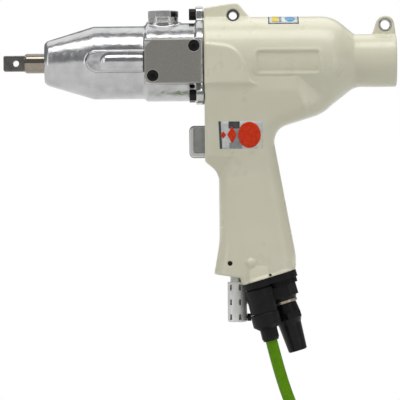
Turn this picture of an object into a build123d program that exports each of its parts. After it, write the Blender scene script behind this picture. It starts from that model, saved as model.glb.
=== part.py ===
from build123d import *
import os
from math import cos, pi, radians, sin, tan

# Air-driven impulse wrench of pistol form, in millimetres.
# +X points to the rear, the drive square to -X. +Z is up. The operator's left side faces -Y.
# The origin is the centre of the front suspension eye, in the middle plane of the tool.

# Drive line
AXIS_DROP = 28.0
DRIVE_AF = 9.5
DRIVE_TIP_X = -140.0
DRIVE_LENGTH = 12.4
DRIVE_SHOULDER = 1.6
DRIVE_PIN_R = 1.9
DRIVE_PIN_SETBACK = 7.6
SHAFT_R = 6.0
RUNNING = 0.05
SLIP = 0.1
GAP = 0.4

# Nose casting with its pulse chamber
NOSE_X = -115.0
NOSE_FACE_R = 11.9
NOSE_LIP = 2.0
NOSE_R = 13.7
CONE_END_X = -85.0
CASE_FRONT_R = 22.2
CASE_STEP_X = -54.2
CASE_REAR_R = CASE_FRONT_R + 1.6
CASE_WALL = 3.4
NOSE_BORE_R = 6.6
BUSH_R = 8.0
BUSH_LENGTH = 10.0
SEAL_R = 9.5
SEAL_WIDTH = 3.0
SEAL_SETBACK = 1.2
COIL_R = 14.0
COIL_LENGTH = 9.0
FLANGE_THICK = 4.6
FLANGE_R = CASE_REAR_R + 2.2
GASKET_THICK = 0.4
FLANGE_BOLT_R = CASE_REAR_R + 5.3
FLANGE_EAR_R = 4.8
FLANGE_BOLT_ANGLES = (90, 225, 315)
M4_R = 2.0
M4_HEAD_R = 3.5
M4_HEAD = 4.0
M4_SOCKET_AF = 3.0
FLANGE_SCREW_LENGTH = 14.0

# Conduit pad on the left of the nose casting
PAD_FRONT_X = -89.2
PAD_HEIGHT = 12.6
PAD_PROUD = 0.9
CONDUIT_FRONT_X = -81.4
CONDUIT_R = 5.6
CONDUIT_PROUD = 2.8

# Electronics cover on the left side
COVER_REAR_X = -19.6
COVER_LENGTH = 34.3
COVER_HEIGHT = 26.6
COVER_THICK = 5.0
COVER_SEAT_Y = CASE_FRONT_R - 0.4
COVER_CORNER = 4.5
COVER_TOP_SCREW = (COVER_LENGTH - 4.3, 9.3)
COVER_LOW_SCREW = (5.0, -8.7)
COVER_SCREW_LENGTH = 9.0
POCKET_LENGTH = 25.0
POCKET_HEIGHT = 12.0
POCKET_DEPTH = 2.6
BOARD_THICK = 1.2
SENSOR_SIDE = 6.0

# Oil plug on top
PLUG_X = -42.5
PLUG_AF = 16.0
PLUG_HEX = 4.0
PLUG_COLLAR_R = 9.2
PLUG_COLLAR = 2.0
PLUG_STEM_R = 6.0
PLUG_SETBACK = 1.0
PLUG_BOSS_R = 10.4
PLUG_BOSS_TOP = CASE_REAR_R + 0.8
WASHER_THICK = 0.8

# Pulse unit
LINER_R = CASE_FRONT_R - CASE_WALL - 0.6
LINER_FRONT_X = -78.0
LINER_LENGTH = 21.0
LINER_BORE_MAJOR = LINER_R - 2.4
LINER_BORE_MINOR = LINER_BORE_MAJOR - 2.6
LINER_PLATE = 5.0
ANVIL_R = LINER_BORE_MINOR - 1.2
ANVIL_BEARING_R = 8.0
PILOT_R = 5.0
PILOT_LENGTH = 4.0
BLADE_THICK = 3.0
BLADE_TIP_R = LINER_BORE_MINOR - 0.7
BLADE_HEIGHT = 6.9
BLADE_ROOT_R = BLADE_TIP_R - BLADE_HEIGHT
BLADE_END_PLAY = 0.2
SLOT_MARGIN = 2.5
HUB_R = 8.0
HUB_LENGTH = 15.0
HUB_HEX_AF = 9.0
ENCODER_R = 14.0
ENCODER_WIDTH = 4.0

# Motor
FACE_X = -17.8
MOTOR_R = 23.4
END_PLATE = 8.0
CYLINDER_LENGTH = 43.0
CYLINDER_BORE_R = 18.0
CYLINDER_OFFSET = 1.4
ROTOR_R = 16.0
ROTOR_SHAFT_R = 6.0
VANE_COUNT = 5
VANE_THICK = 2.0
VANE_DEPTH = 7.0
BEARING_R = 12.0
BEARING_WIDTH = 6.0
MOTOR_POCKET_SPARE = 2.0

# Motor housing
BARREL_R = 27.2
BARREL_SHOULDER_X = 60.6
BARREL_SHOULDER_BLEND = 20.0
TUBE_R = 16.1
TUBE_START_X = 73.9
TUBE_BLEND = 3.0
REAR_X = 99.4
TUBE_BORE_R = 13.0
TUBE_BORE_DEPTH = 31.0
PORT_R = 5.0
DUCT_SETBACK = 6.0
DUCT_DROP = 4.0
DUCT_REACH = 24.0
DUCT_TOP_DROP = 20.0
EXHAUST_Y = 10.6
EXHAUST_TURN_Z = -108.0
EXHAUST_LAP = 3.0

# Front suspension fin and its steel bush
FIN_THICK = 13.0
FIN_FRONT_TOP = 4.9
FIN_PEAK = (1.6, 7.6)
FIN_REAR_X = 10.4
EYE_R = 2.5
EYE_BUSH_R = 3.6

# Rear suspension lug
LUG_X = 92.7
LUG_Z = -6.3
LUG_TOP_R = 5.6
LUG_HOLE_R = 3.8
LUG_THICK = 9.0
LUG_FOOT = 7.6

# Web between barrel and grip
WEB_HALF = 26.0
WEB_TAPER_TOP_Z = -46.0
WEB_NECK = (23.0, -69.7)
WEB_NECK_BLEND = 10.6
WEB_BELLY = (55.6, -59.6)
WEB_BELLY_BLEND = 18.0
WEB_TAIL = (64.0, -50.3)
WEB_TAIL_HALF = 14.5
WEB_TAIL_START_X = 38.0
FRONT_BLOCK_BOTTOM_Z = -88.6
FRONT_BLOCK_DEPTH = 22.0
FRONT_EDGE_R = 2.5
CHIN_Z = -103.0
CHIN_HALF = 5.0

# Bulge round the air passage behind the flange, with its S-shaped rear edge
BULGE_HALF = 27.7
BULGE_TOP_Z = -17.0
BULGE_BOTTOM_Z = -42.4
BULGE_EDGE = [(-6.0, -18.4), (3.0, -23.2), (7.4, -29.5), (9.0, -36.3), (15.0, -42.4)]
BULGE_EDGE_R = 1.4

# Bare panel on both sides of the barrel
PANEL_X = 32.9
PANEL_DROP = 0.9
PANEL_LENGTH = 37.4
PANEL_HEIGHT = 12.6
PANEL_DEPTH = 1.0
PANEL_CORNER = 2.2

# Grip
GRIP_FRONT_X = -9.3
GRIP_FOOT_X = -14.0
GRIP_FLARE_Z = -138.0
GRIP_BACK_LOW = (37.0, -146.0)
GRIP_HALF = 16.5
GRIP_SHOULDER_Z = -97.0
GRIP_EDGE_R = 10.5
GRIP_FLARE_BLEND = 60.0
GRIP_FOOT_BLEND = 10.0
GRIP_BACK_BLEND = 30.0
GRIP_SHOULDER_BLEND = 40.0
WEB_TAPER_BLEND = 20.0
GRIP_CUT_Z = -172.0
FOOT_Z = -157.4
FOOT_STEP = 0.8
FOOT_SLOPE = 8.0

# Tilted base of the grip: u runs along it to the rear, n away from the grip
BASE_TILT = 16.35
BASE_X = 5.3
BASE_Z = -163.9
BASE_LENGTH = 32.6
BASE_PLATE = 4.0
BASE_RIM = 2.2
BASE_RIM_PROUD = 0.5
INLET_BOSS = 3.4
INLET_BOSS_R = 10.4
INLET_BOSS_LENGTH = 14.5
INLET_BOSS_WIDTH = 20.2
BASE_SCREW_R = 1.5
BASE_SCREW_HEAD_R = 2.8
BASE_SCREW_HEAD = 1.6
BASE_SCREW_LENGTH = 10.0
BASE_SCREW_SPOTS = [(BASE_LENGTH - 4.1, -10.5), (4.5, 12.0)]

# Small screws in the left side of the grip: x, z, radius and depth
GRIP_SCREW = (-3.1, -150.7, 1.5, 8.0)
CONNECTOR_SCREW = (21.2, -157.8, 0.8, 4.0)

# Air inlet with its swivel
INLET_U = 20.0
INLET_Y = 5.8
BUSHING_AF = 18.2
BUSHING_HEX = 7.2
BUSHING_CHAMFER = 2.0
BUSHING_STEM_R = 7.0
BUSHING_STEM = 9.0
RING_THICK = 1.5
RING_R = 8.6
SPIGOT_R = 4.5
SPIGOT_LENGTH = 15.0
SWIVEL_LENGTH = 29.8
SWIVEL_NECK_R = 7.6
SWIVEL_HEX_AF = 16.6
SWIVEL_HEX_START = 6.0
SWIVEL_HEX = 3.8
SWIVEL_MID_R = 7.0
SWIVEL_END_R = 5.6
HOSE_BORE_R = 3.0

# Cable connector
CONNECTOR_U = 7.8
CONNECTOR_Y = -9.2
CONNECTOR_TILT = 13.7
CONNECTOR_BOSS_R = 9.0
CONNECTOR_BOSS = 11.5
RECEPTACLE_R = 7.0
RECEPTACLE_DEPTH = 7.0
RECEPTACLE_LENGTH = 11.5
NUT_R = 8.3
NUT_LENGTH = 15.0
NUT_LIP = 2.4
SHELL_SLEEVE_R = 6.0
SHELL_R = 8.6
SHELL_LENGTH = 7.4
SHELL_TAPER = 2.4
CLAMP_R = 5.1
CLAMP_LENGTH = 7.4
CLAMP_FLAT_COUNT = 12

# Silencer under the grip
SILENCER_X = 1.2
SILENCER_TOP_Z = -162.2
SILENCER_BOTTOM_Z = -186.6
SILENCER_R = 5.9
SILENCER_WALL = 1.0
SILENCER_NECK_R = 4.2
SILENCER_NECK = 9.6
SILENCER_NECK_BORE_R = 2.8
SLOT_COUNT = 6
SLOT_WIDTH = 1.6
SLOT_HEIGHT = 3.4
SLOT_ROWS = (3.4, 12.3, 21.4)
SLOT_START_ANGLE = -73.0
PINCH_SCREW_DROPS = (11.1, 21.6)
PINCH_SCREW_R = 1.2
PINCH_SCREW_LENGTH = 2.2
PINCH_HEAD_R = 2.3
PINCH_HEAD = 2.4

# Trigger and throttle valve
VALVE_Z = -76.7
TRIGGER_FRONT_X = -27.2
TRIGGER_HEIGHT = 19.6
TRIGGER_WIDTH = 14.0
TRIGGER_DEPTH = 14.4
TRIGGER_CORNER = 3.0
TRIGGER_RIM = 2.6
TRIGGER_RECESS = 0.6
TRIGGER_TRAVEL = 5.5
ROD_R = 2.0
SLEEVE_R = 6.5
SLEEVE_LENGTH = 11.0
VALVE_R = 4.8
VALVE_THICK = 3.6
CHAMBER_LENGTH = 13.0
SPRING_WIRE = 0.8

# Shut-off valve in the rear tube
SOLENOID_LENGTH = 18.0
PLUNGER_R = 4.0
PLUNGER_HEAD_R = 7.0
PLUNGER_HEAD = 2.4
PLUNGER_STEM = 10.4
PLUNGER_TRAVEL = 2.5
REAR_PLUG_LENGTH = 5.5
REAR_PLUG_SETBACK = 1.4

# Cable, with the bench that its coil lies on
CABLE_R = 3.7
BENCH_Z = -300.0
COIL_MID_R = 37.5
COIL_COLUMNS = 3
COIL_LAYERS = 4
COIL_CENTRE = (4.4, 47.6)
TIE_WIDTH = 8.0
TIE_THICK = 0.8
TIE_ANGLE = 140.0
CABLE_FIRST_RUN = 22.7
CABLE_ROUTE = [
    (35.6, -9.2, -243.4),
    (45.2, 2.8, -262.2),
    (49.3, 23.6, -273.3),
    (49.3, 47.6, -273.3),
]
TAIL_ROUTE = [
    (2.4, 2.7, -295.5),
    (20.4, 1.5, -295.5),
    (38.0, -3.0, -291.5),
    (55.6, -7.0, -291.5),
]
FAR_PLUG_R = 8.5
FAR_SLEEVE = 22.0
FAR_BACK = 18.0
FAR_BACK_R = 6.8
FAR_BORE_R = 6.6
FAR_BORE = 1.5

# Planes and directions that follow from the sizes
AXIS_Z = -AXIS_DROP
tilt_cos = cos(radians(BASE_TILT))
tilt_sin = sin(radians(BASE_TILT))
base_down = Vector(tilt_sin, 0, -tilt_cos)
connector_down = Vector(sin(radians(CONNECTOR_TILT)), 0, -cos(radians(CONNECTOR_TILT)))


def base_point(u, y, n):
    """Point at u along the tilted base, y across and n below it."""
    return Vector(BASE_X + u * tilt_cos + n * tilt_sin, y, BASE_Z + u * tilt_sin - n * tilt_cos)


def turning_plane(origin, direction):
    """Plane whose x runs along a turned piece and whose y is its radius."""
    return Plane(origin=origin, x_dir=direction, z_dir=(0, -1, 0))


def station(plane, distance):
    """Plane square to a turning axis, with +Y of the tool as its x."""
    return Plane(origin=plane.origin + plane.x_dir * distance, x_dir=(0, 1, 0), z_dir=plane.x_dir)


drive = turning_plane((0, 0, AXIS_Z), (1, 0, 0))
valve = turning_plane((0, 0, VALVE_Z), (1, 0, 0))
plug_line = turning_plane((PLUG_X, 0, AXIS_Z), (0, 0, 1))
silencer_line = turning_plane((SILENCER_X, 0, SILENCER_TOP_Z), (0, 0, -1))
inlet = turning_plane(base_point(INLET_U, INLET_Y, 0), base_down)
connector = turning_plane(base_point(CONNECTOR_U, CONNECTOR_Y, 0), connector_down)
base_face = Plane(origin=base_point(0, 0, 0), x_dir=(tilt_cos, 0, tilt_sin), z_dir=-base_down)

pieces = []


def turned(label, plane, profile):
    """Piece of revolution from a closed outline of (length, radius) points."""
    with BuildPart() as piece:
        with BuildSketch(plane):
            with BuildLine():
                Polyline(*profile, close=True)
            make_face()
        revolve(axis=Axis(plane.origin, plane.x_dir))
    piece.part.label = label
    pieces.append(piece)
    return piece


def tube_profile(start, end, inner, outer):
    """Outline of a plain tube, or of a plain bar where inner is 0."""
    return [(start, inner), (end, inner), (end, outer), (start, outer)]


def socket_screws(label, seats, shank_r, length, head_r, head, socket_af):
    """Cap screws whose heads stand on the given seat planes."""
    with BuildPart() as piece:
        for seat in seats:
            with BuildSketch(seat):
                Circle(shank_r)
            extrude(amount=-length)
            with BuildSketch(seat):
                Circle(head_r)
            extrude(amount=head)
            with BuildSketch(seat.offset(head)):
                RegularPolygon(socket_af / 2, 6, major_radius=False)
            extrude(amount=-head * 0.55, mode=Mode.SUBTRACT)
    piece.part.label = label
    pieces.append(piece)
    return piece


def coil_spring(label, plane, start, length, radius, turns):
    """Compression spring of square wire about a turning axis."""
    foot = station(plane, start)
    with BuildPart() as piece:
        with BuildLine():
            path = Helix(length / turns, length, radius, center=foot.origin, direction=foot.z_dir)
        section_plane = Plane(origin=path @ 0, z_dir=path % 0)
        with BuildSketch(section_plane):
            Rectangle(SPRING_WIRE, SPRING_WIRE)
        sweep(path=path, is_frenet=True)
    piece.part.label = label
    pieces.append(piece)
    return piece


# Sizes that follow along the drive line
flange_front_x = FACE_X - GASKET_THICK - FLANGE_THICK
chamber_r = CASE_FRONT_R - CASE_WALL
seal_x = NOSE_X + SEAL_SETBACK
bush_x = seal_x + SEAL_WIDTH
coil_x = bush_x + BUSH_LENGTH
coil_end_x = coil_x + COIL_LENGTH
liner_front_plate_x = LINER_FRONT_X - LINER_PLATE
liner_end_x = LINER_FRONT_X + LINER_LENGTH
liner_rear_x = liner_end_x + LINER_PLATE
hub_end_x = liner_rear_x + HUB_LENGTH
cover_front_x = COVER_REAR_X - COVER_LENGTH
cover_seat = Plane(origin=(cover_front_x, -COVER_SEAT_Y, AXIS_Z), x_dir=(1, 0, 0), z_dir=(0, -1, 0))
cover_middle = (COVER_LENGTH / 2, 0)
cover_screw_spots = [COVER_TOP_SCREW, COVER_LOW_SCREW]
flange_seats = [
    Plane(
        origin=(
            flange_front_x,
            FLANGE_BOLT_R * cos(radians(angle)),
            AXIS_Z + FLANGE_BOLT_R * sin(radians(angle)),
        ),
        x_dir=(0, -1, 0),
        z_dir=(-1, 0, 0),
    )
    for angle in FLANGE_BOLT_ANGLES
]

# Nose casting: cone, pulse chamber, flange, conduit pad and electronics seat
with BuildPart() as clutch_case:
    with BuildSketch(drive):
        with BuildLine():
            Polyline(
                (NOSE_X, 0),
                (NOSE_X, NOSE_FACE_R),
                (NOSE_X + NOSE_LIP, NOSE_R),
                (CONE_END_X, CASE_FRONT_R),
                (CASE_STEP_X, CASE_FRONT_R),
                (CASE_STEP_X + CASE_REAR_R - CASE_FRONT_R, CASE_REAR_R),
                (flange_front_x, CASE_REAR_R),
                (flange_front_x, FLANGE_R),
                (flange_front_x + FLANGE_THICK, FLANGE_R),
                (flange_front_x + FLANGE_THICK, 0),
                close=True,
            )
        make_face()
    revolve(axis=Axis(drive.origin, drive.x_dir))
    for seat in flange_seats:
        ear_root = AXIS_Z - seat.origin.Z
        ear_side = -seat.origin.Y
        with BuildSketch(station(drive, flange_front_x)):
            with BuildLine():
                inward = Vector(ear_side, ear_root).normalized()
                across = Vector(-inward.Y, inward.X) * FLANGE_EAR_R
                tip = Vector(seat.origin.Y, seat.origin.Z - AXIS_Z)
                root = tip + inward * (FLANGE_BOLT_R - CASE_REAR_R + FLANGE_EAR_R)
                Polyline(tip + across, root + across * 1.8, root - across * 1.8, tip - across, close=True)
            make_face()
            with Locations(tip):
                Circle(FLANGE_EAR_R)
        extrude(amount=FLANGE_THICK)
    with BuildSketch(station(plug_line, 0)):
        Circle(PLUG_BOSS_R)
    extrude(amount=PLUG_BOSS_TOP)
    with BuildSketch(cover_seat):
        with Locations((COVER_LENGTH / 2 + 0.4, 0)):
            Rectangle(COVER_LENGTH + 0.8, COVER_HEIGHT + 1.0)
    extrude(amount=-COVER_SEAT_Y * 0.4)
    with BuildSketch(Plane.XZ.offset(CASE_FRONT_R + PAD_PROUD)):
        with Locations(((PAD_FRONT_X + CASE_STEP_X) / 2 + 4, AXIS_Z)):
            SlotOverall(CASE_STEP_X - PAD_FRONT_X + 8, PAD_HEIGHT)
    extrude(amount=-CASE_FRONT_R * 0.45)
    conduit_line = Plane(
        origin=(CONDUIT_FRONT_X + CONDUIT_R, CONDUIT_R - CASE_FRONT_R - CONDUIT_PROUD, AXIS_Z),
        x_dir=(0, 1, 0),
        z_dir=(1, 0, 0),
    )
    with BuildSketch(conduit_line):
        Circle(CONDUIT_R)
    extrude(amount=CASE_STEP_X - conduit_line.origin.X + 1)
    with Locations(conduit_line.origin):
        Sphere(CONDUIT_R)
    # Everything that the electronics cover needs out of its way
    with BuildSketch(cover_seat):
        with Locations((COVER_LENGTH / 2 + 1, 0)):
            Rectangle(COVER_LENGTH + 2 + GAP, COVER_HEIGHT + 1.0)
    extrude(amount=BARREL_R, mode=Mode.SUBTRACT)
    with BuildSketch(cover_seat):
        with Locations(cover_middle):
            Rectangle(POCKET_LENGTH, POCKET_HEIGHT)
    extrude(amount=-POCKET_DEPTH, mode=Mode.SUBTRACT)
    with BuildSketch(cover_seat):
        with Locations((hub_end_x - HUB_LENGTH / 2 - cover_front_x, 0)):
            Rectangle(SENSOR_SIDE + 2 * GAP, SENSOR_SIDE + 2 * GAP)
    extrude(amount=-(COVER_SEAT_Y - ENCODER_R), mode=Mode.SUBTRACT)
    with BuildSketch(cover_seat):
        with Locations(*cover_screw_spots):
            Circle(M4_R + RUNNING)
    extrude(amount=-(COVER_SCREW_LENGTH - COVER_THICK + M4_HEAD), mode=Mode.SUBTRACT)
    # Bores for shaft, seal, bush, torque coil and pulse unit
    with BuildSketch(drive):
        with BuildLine():
            Polyline(
                (NOSE_X - 1, 0),
                (NOSE_X - 1, NOSE_BORE_R),
                (seal_x, NOSE_BORE_R),
                (seal_x, SEAL_R),
                (bush_x, SEAL_R),
                (bush_x, BUSH_R),
                (coil_x, BUSH_R),
                (coil_x, COIL_R),
                (coil_end_x, COIL_R),
                (liner_front_plate_x - 1, chamber_r),
                (FACE_X, chamber_r),
                (FACE_X, 0),
                close=True,
            )
        make_face()
    revolve(axis=Axis(drive.origin, drive.x_dir), mode=Mode.SUBTRACT)
    with BuildSketch(station(plug_line, chamber_r - 1)):
        Circle(PLUG_STEM_R + RUNNING)
    extrude(amount=BARREL_R, mode=Mode.SUBTRACT)
    for seat in flange_seats:
        with BuildSketch(seat):
            Circle(M4_R + RUNNING)
        extrude(amount=-FLANGE_THICK, mode=Mode.SUBTRACT)
clutch_case.part.label = "clutch_case"
pieces.append(clutch_case)

# Gasket between nose casting and motor housing
turned("flange_gasket", drive, tube_profile(FACE_X - GASKET_THICK, FACE_X, MOTOR_R + SLIP, FLANGE_R - 0.5))

socket_screws(
    "flange_screws", flange_seats, M4_R, FLANGE_SCREW_LENGTH, M4_HEAD_R, M4_HEAD, M4_SOCKET_AF
)

# Electronics cover with counterbored screws
with BuildPart() as side_cover:
    with BuildSketch(cover_seat):
        with Locations(cover_middle):
            Rectangle(COVER_LENGTH, COVER_HEIGHT)
    extrude(amount=COVER_THICK)
    front_edges = side_cover.edges().filter_by(Axis.Y).group_by(Axis.X)[0].sort_by(Axis.Z)
    chamfer(front_edges[-1], length=COVER_CORNER)
    low_front = side_cover.edges().filter_by(Axis.Y).group_by(Axis.X)[0].sort_by(Axis.Z)[0]
    fillet(low_front, radius=COVER_CORNER)
    chamfer(side_cover.faces().sort_by(Axis.Y)[0].edges(), length=0.4)
    with BuildSketch(cover_seat):
        with Locations(*cover_screw_spots):
            Circle(M4_R + RUNNING)
    extrude(amount=COVER_THICK, mode=Mode.SUBTRACT)
    with BuildSketch(cover_seat.offset(COVER_THICK)):
        with Locations(*cover_screw_spots):
            Circle(M4_HEAD_R + SLIP)
    extrude(amount=-M4_HEAD - 0.1, mode=Mode.SUBTRACT)
side_cover.part.label = "side_cover"
pieces.append(side_cover)

cover_screw_seats = [
    Plane(
        origin=(cover_front_x + x, -COVER_SEAT_Y - COVER_THICK + M4_HEAD + 0.1, AXIS_Z + z),
        x_dir=(1, 0, 0),
        z_dir=(0, -1, 0),
    )
    for x, z in cover_screw_spots
]
socket_screws(
    "side_cover_screws",
    cover_screw_seats,
    M4_R,
    COVER_SCREW_LENGTH - M4_HEAD,
    M4_HEAD_R,
    M4_HEAD,
    M4_SOCKET_AF,
)

# Circuit board and angle sensor under the cover
board_seat = cover_seat.offset(-POCKET_DEPTH)
with BuildPart() as sensor_board:
    with BuildSketch(board_seat.offset(POCKET_DEPTH - BOARD_THICK - 0.3)):
        with Locations(cover_middle):
            RectangleRounded(POCKET_LENGTH - 2 * GAP, POCKET_HEIGHT - 2 * GAP, 1.0)
    extrude(amount=BOARD_THICK)
sensor_board.part.label = "sensor_board"
pieces.append(sensor_board)

with BuildPart() as angle_sensor:
    with BuildSketch(board_seat.offset(POCKET_DEPTH - BOARD_THICK - 0.3)):
        with Locations((hub_end_x - HUB_LENGTH / 2 - cover_front_x, 0)):
            Rectangle(SENSOR_SIDE, SENSOR_SIDE)
    extrude(amount=-(COVER_SEAT_Y - BOARD_THICK - 0.3 - ENCODER_R - GAP))
angle_sensor.part.label = "angle_sensor"
pieces.append(angle_sensor)

# Oil plug with its washer
washer_foot = PLUG_BOSS_TOP
turned(
    "plug_washer",
    plug_line,
    tube_profile(washer_foot, washer_foot + WASHER_THICK, PLUG_STEM_R + SLIP, PLUG_COLLAR_R),
)
plug_foot = washer_foot + WASHER_THICK
with BuildPart() as oil_plug:
    with BuildSketch(station(plug_line, chamber_r + PLUG_SETBACK)):
        Circle(PLUG_STEM_R)
    extrude(amount=plug_foot - chamber_r - PLUG_SETBACK)
    with BuildSketch(station(plug_line, plug_foot)):
        Circle(PLUG_COLLAR_R)
    extrude(amount=PLUG_COLLAR)
    with BuildSketch(station(plug_line, plug_foot + PLUG_COLLAR)):
        RegularPolygon(PLUG_AF / 2, 6, major_radius=False, rotation=30)
    extrude(amount=PLUG_HEX)
    chamfer(oil_plug.faces().sort_by(Axis.Z)[-1].edges(), length=0.5)
oil_plug.part.label = "oil_plug"
pieces.append(oil_plug)

# Shaft seal, nose bush and torque coil
turned("nose_seal", drive, tube_profile(seal_x, bush_x, SHAFT_R + 0.3, SEAL_R))
turned("nose_bush", drive, tube_profile(bush_x, coil_x, SHAFT_R + RUNNING, BUSH_R))
turned("torque_coil", drive, tube_profile(coil_x, coil_end_x, SHAFT_R + 1, COIL_R))

# Anvil with its drive square
anvil_body_x = LINER_FRONT_X + GAP
anvil_end_x = liner_end_x - GAP
square_end_x = DRIVE_TIP_X + DRIVE_LENGTH
anvil_slot_length = LINER_LENGTH - 2 * SLOT_MARGIN
with BuildPart() as anvil:
    with BuildSketch(drive):
        with BuildLine():
            Polyline(
                (square_end_x - 1, 0),
                (square_end_x - 1, DRIVE_AF / 2 - 0.4),
                (square_end_x, DRIVE_AF / 2),
                (square_end_x + DRIVE_SHOULDER, SHAFT_R),
                (coil_end_x + 1, SHAFT_R),
                (coil_end_x + 1, ANVIL_BEARING_R),
                (anvil_body_x, ANVIL_BEARING_R),
                (anvil_body_x, ANVIL_R),
                (anvil_end_x, ANVIL_R),
                (anvil_end_x, PILOT_R),
                (anvil_end_x + PILOT_LENGTH, PILOT_R),
                (anvil_end_x + PILOT_LENGTH, 0),
                close=True,
            )
        make_face()
    revolve(axis=Axis(drive.origin, drive.x_dir))
    with BuildSketch(station(drive, DRIVE_TIP_X)):
        RectangleRounded(DRIVE_AF, DRIVE_AF, 0.9)
    extrude(amount=DRIVE_LENGTH + DRIVE_SHOULDER)
    chamfer(anvil.faces().sort_by(Axis.X)[0].edges(), length=0.7)
    with BuildSketch(Plane.XZ):
        with Locations((DRIVE_TIP_X + DRIVE_PIN_SETBACK, AXIS_Z)):
            Circle(DRIVE_PIN_R)
    extrude(amount=DRIVE_AF, both=True, mode=Mode.SUBTRACT)
    with BuildSketch(Plane.XZ):
        with Locations(((anvil_body_x + anvil_end_x) / 2, AXIS_Z)):
            Rectangle(anvil_slot_length, 3 * ANVIL_R)
    extrude(amount=BLADE_THICK / 2 + RUNNING, both=True, mode=Mode.SUBTRACT)
anvil.part.label = "anvil"
pieces.append(anvil)

# Two pulse blades in the anvil slot, and the springs between them
blade_middle = (BLADE_TIP_R + BLADE_ROOT_R) / 2
with BuildPart() as pulse_blades:
    for side in (1, -1):
        with BuildSketch(Plane.XZ):
            with Locations(((anvil_body_x + anvil_end_x) / 2, AXIS_Z + side * blade_middle)):
                Rectangle(anvil_slot_length - 2 * BLADE_END_PLAY, BLADE_HEIGHT)
        extrude(amount=BLADE_THICK / 2, both=True)
pulse_blades.part.label = "pulse_blades"
pieces.append(pulse_blades)

with BuildPart() as blade_springs:
    for spot in (-4, 4):
        spring_x = (anvil_body_x + anvil_end_x) / 2 + spot
        with BuildSketch(Plane(origin=(spring_x, 0, AXIS_Z - BLADE_ROOT_R), z_dir=(0, 0, 1))):
            Circle(1.2)
            Circle(0.6, mode=Mode.SUBTRACT)
        extrude(amount=2 * BLADE_ROOT_R)
blade_springs.part.label = "blade_springs"
pieces.append(blade_springs)

# Pulse unit: front plate, liner with an oval bore, rear plate with its hub
turned(
    "liner_front_plate",
    drive,
    tube_profile(liner_front_plate_x, LINER_FRONT_X, ANVIL_BEARING_R + RUNNING, LINER_R),
)
with BuildPart() as pulse_liner:
    with BuildSketch(station(drive, LINER_FRONT_X)):
        Circle(LINER_R)
        Ellipse(LINER_BORE_MAJOR, LINER_BORE_MINOR, mode=Mode.SUBTRACT)
    extrude(amount=LINER_LENGTH)
pulse_liner.part.label = "pulse_liner"
pieces.append(pulse_liner)

with BuildPart() as liner_rear_plate:
    with BuildSketch(drive):
        with BuildLine():
            Polyline(
                (liner_end_x, PILOT_R + RUNNING),
                (liner_end_x, LINER_R),
                (liner_rear_x, LINER_R),
                (liner_rear_x, HUB_R),
                (hub_end_x, HUB_R),
                (hub_end_x, 0),
                (liner_rear_x, 0),
                (liner_rear_x, PILOT_R + RUNNING),
                close=True,
            )
        make_face()
    revolve(axis=Axis(drive.origin, drive.x_dir))
    with BuildSketch(station(drive, hub_end_x)):
        RegularPolygon(HUB_HEX_AF / 2 + RUNNING, 6, major_radius=False)
    extrude(amount=-HUB_LENGTH * 0.7, mode=Mode.SUBTRACT)
liner_rear_plate.part.label = "liner_rear_plate"
pieces.append(liner_rear_plate)

# Toothed encoder ring pressed on the hub
encoder_x = hub_end_x - HUB_LENGTH / 2 - ENCODER_WIDTH / 2
with BuildPart() as encoder_ring:
    with BuildSketch(station(drive, encoder_x)):
        Circle(ENCODER_R - 1)
        with PolarLocations(ENCODER_R - 1, 18):
            Rectangle(2, 2)
        Circle(HUB_R + RUNNING, mode=Mode.SUBTRACT)
    extrude(amount=ENCODER_WIDTH)
encoder_ring.part.label = "encoder_ring"
pieces.append(encoder_ring)

# Vane motor
cylinder_x = FACE_X + END_PLATE
cylinder_end_x = cylinder_x + CYLINDER_LENGTH
motor_end_x = cylinder_end_x + END_PLATE


def bearing_profile(start):
    """Ball bearing as rings with a recessed shield between them."""
    ring = (BEARING_R - ROTOR_SHAFT_R) * 0.25
    end = start + BEARING_WIDTH
    bore = ROTOR_SHAFT_R + RUNNING
    return [
        (start, bore),
        (start, bore + ring),
        (start + 0.6, bore + ring),
        (start + 0.6, BEARING_R - ring),
        (start, BEARING_R - ring),
        (start, BEARING_R),
        (end, BEARING_R),
        (end, BEARING_R - ring),
        (end - 0.6, BEARING_R - ring),
        (end - 0.6, bore + ring),
        (end, bore + ring),
        (end, bore),
    ]


turned("front_bearing", drive, bearing_profile(FACE_X + 0.5))
turned("rear_bearing", drive, bearing_profile(motor_end_x - 0.5 - BEARING_WIDTH))
turned(
    "front_end_plate",
    drive,
    [
        (FACE_X, BEARING_R + RUNNING),
        (FACE_X, MOTOR_R),
        (cylinder_x, MOTOR_R),
        (cylinder_x, ROTOR_SHAFT_R + 0.4),
        (FACE_X + 0.5 + BEARING_WIDTH, ROTOR_SHAFT_R + 0.4),
        (FACE_X + 0.5 + BEARING_WIDTH, BEARING_R + RUNNING),
    ],
)
turned(
    "rear_end_plate",
    drive,
    [
        (motor_end_x, BEARING_R + RUNNING),
        (motor_end_x, MOTOR_R),
        (cylinder_end_x, MOTOR_R),
        (cylinder_end_x, ROTOR_SHAFT_R + 0.4),
        (motor_end_x - 0.5 - BEARING_WIDTH, ROTOR_SHAFT_R + 0.4),
        (motor_end_x - 0.5 - BEARING_WIDTH, BEARING_R + RUNNING),
    ],
)
with BuildPart() as motor_cylinder:
    with BuildSketch(station(drive, cylinder_x)):
        Circle(MOTOR_R)
        with Locations((0, CYLINDER_OFFSET)):
            Circle(CYLINDER_BORE_R, mode=Mode.SUBTRACT)
    extrude(amount=CYLINDER_LENGTH)
    with BuildSketch(Plane.XY.offset(AXIS_Z - MOTOR_R)):
        with GridLocations(8, 1, 4, 1):
            Circle(2.4)
    extrude(amount=MOTOR_R - CYLINDER_BORE_R + 2, mode=Mode.SUBTRACT)
motor_cylinder.part.label = "motor_cylinder"
pieces.append(motor_cylinder)

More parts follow.
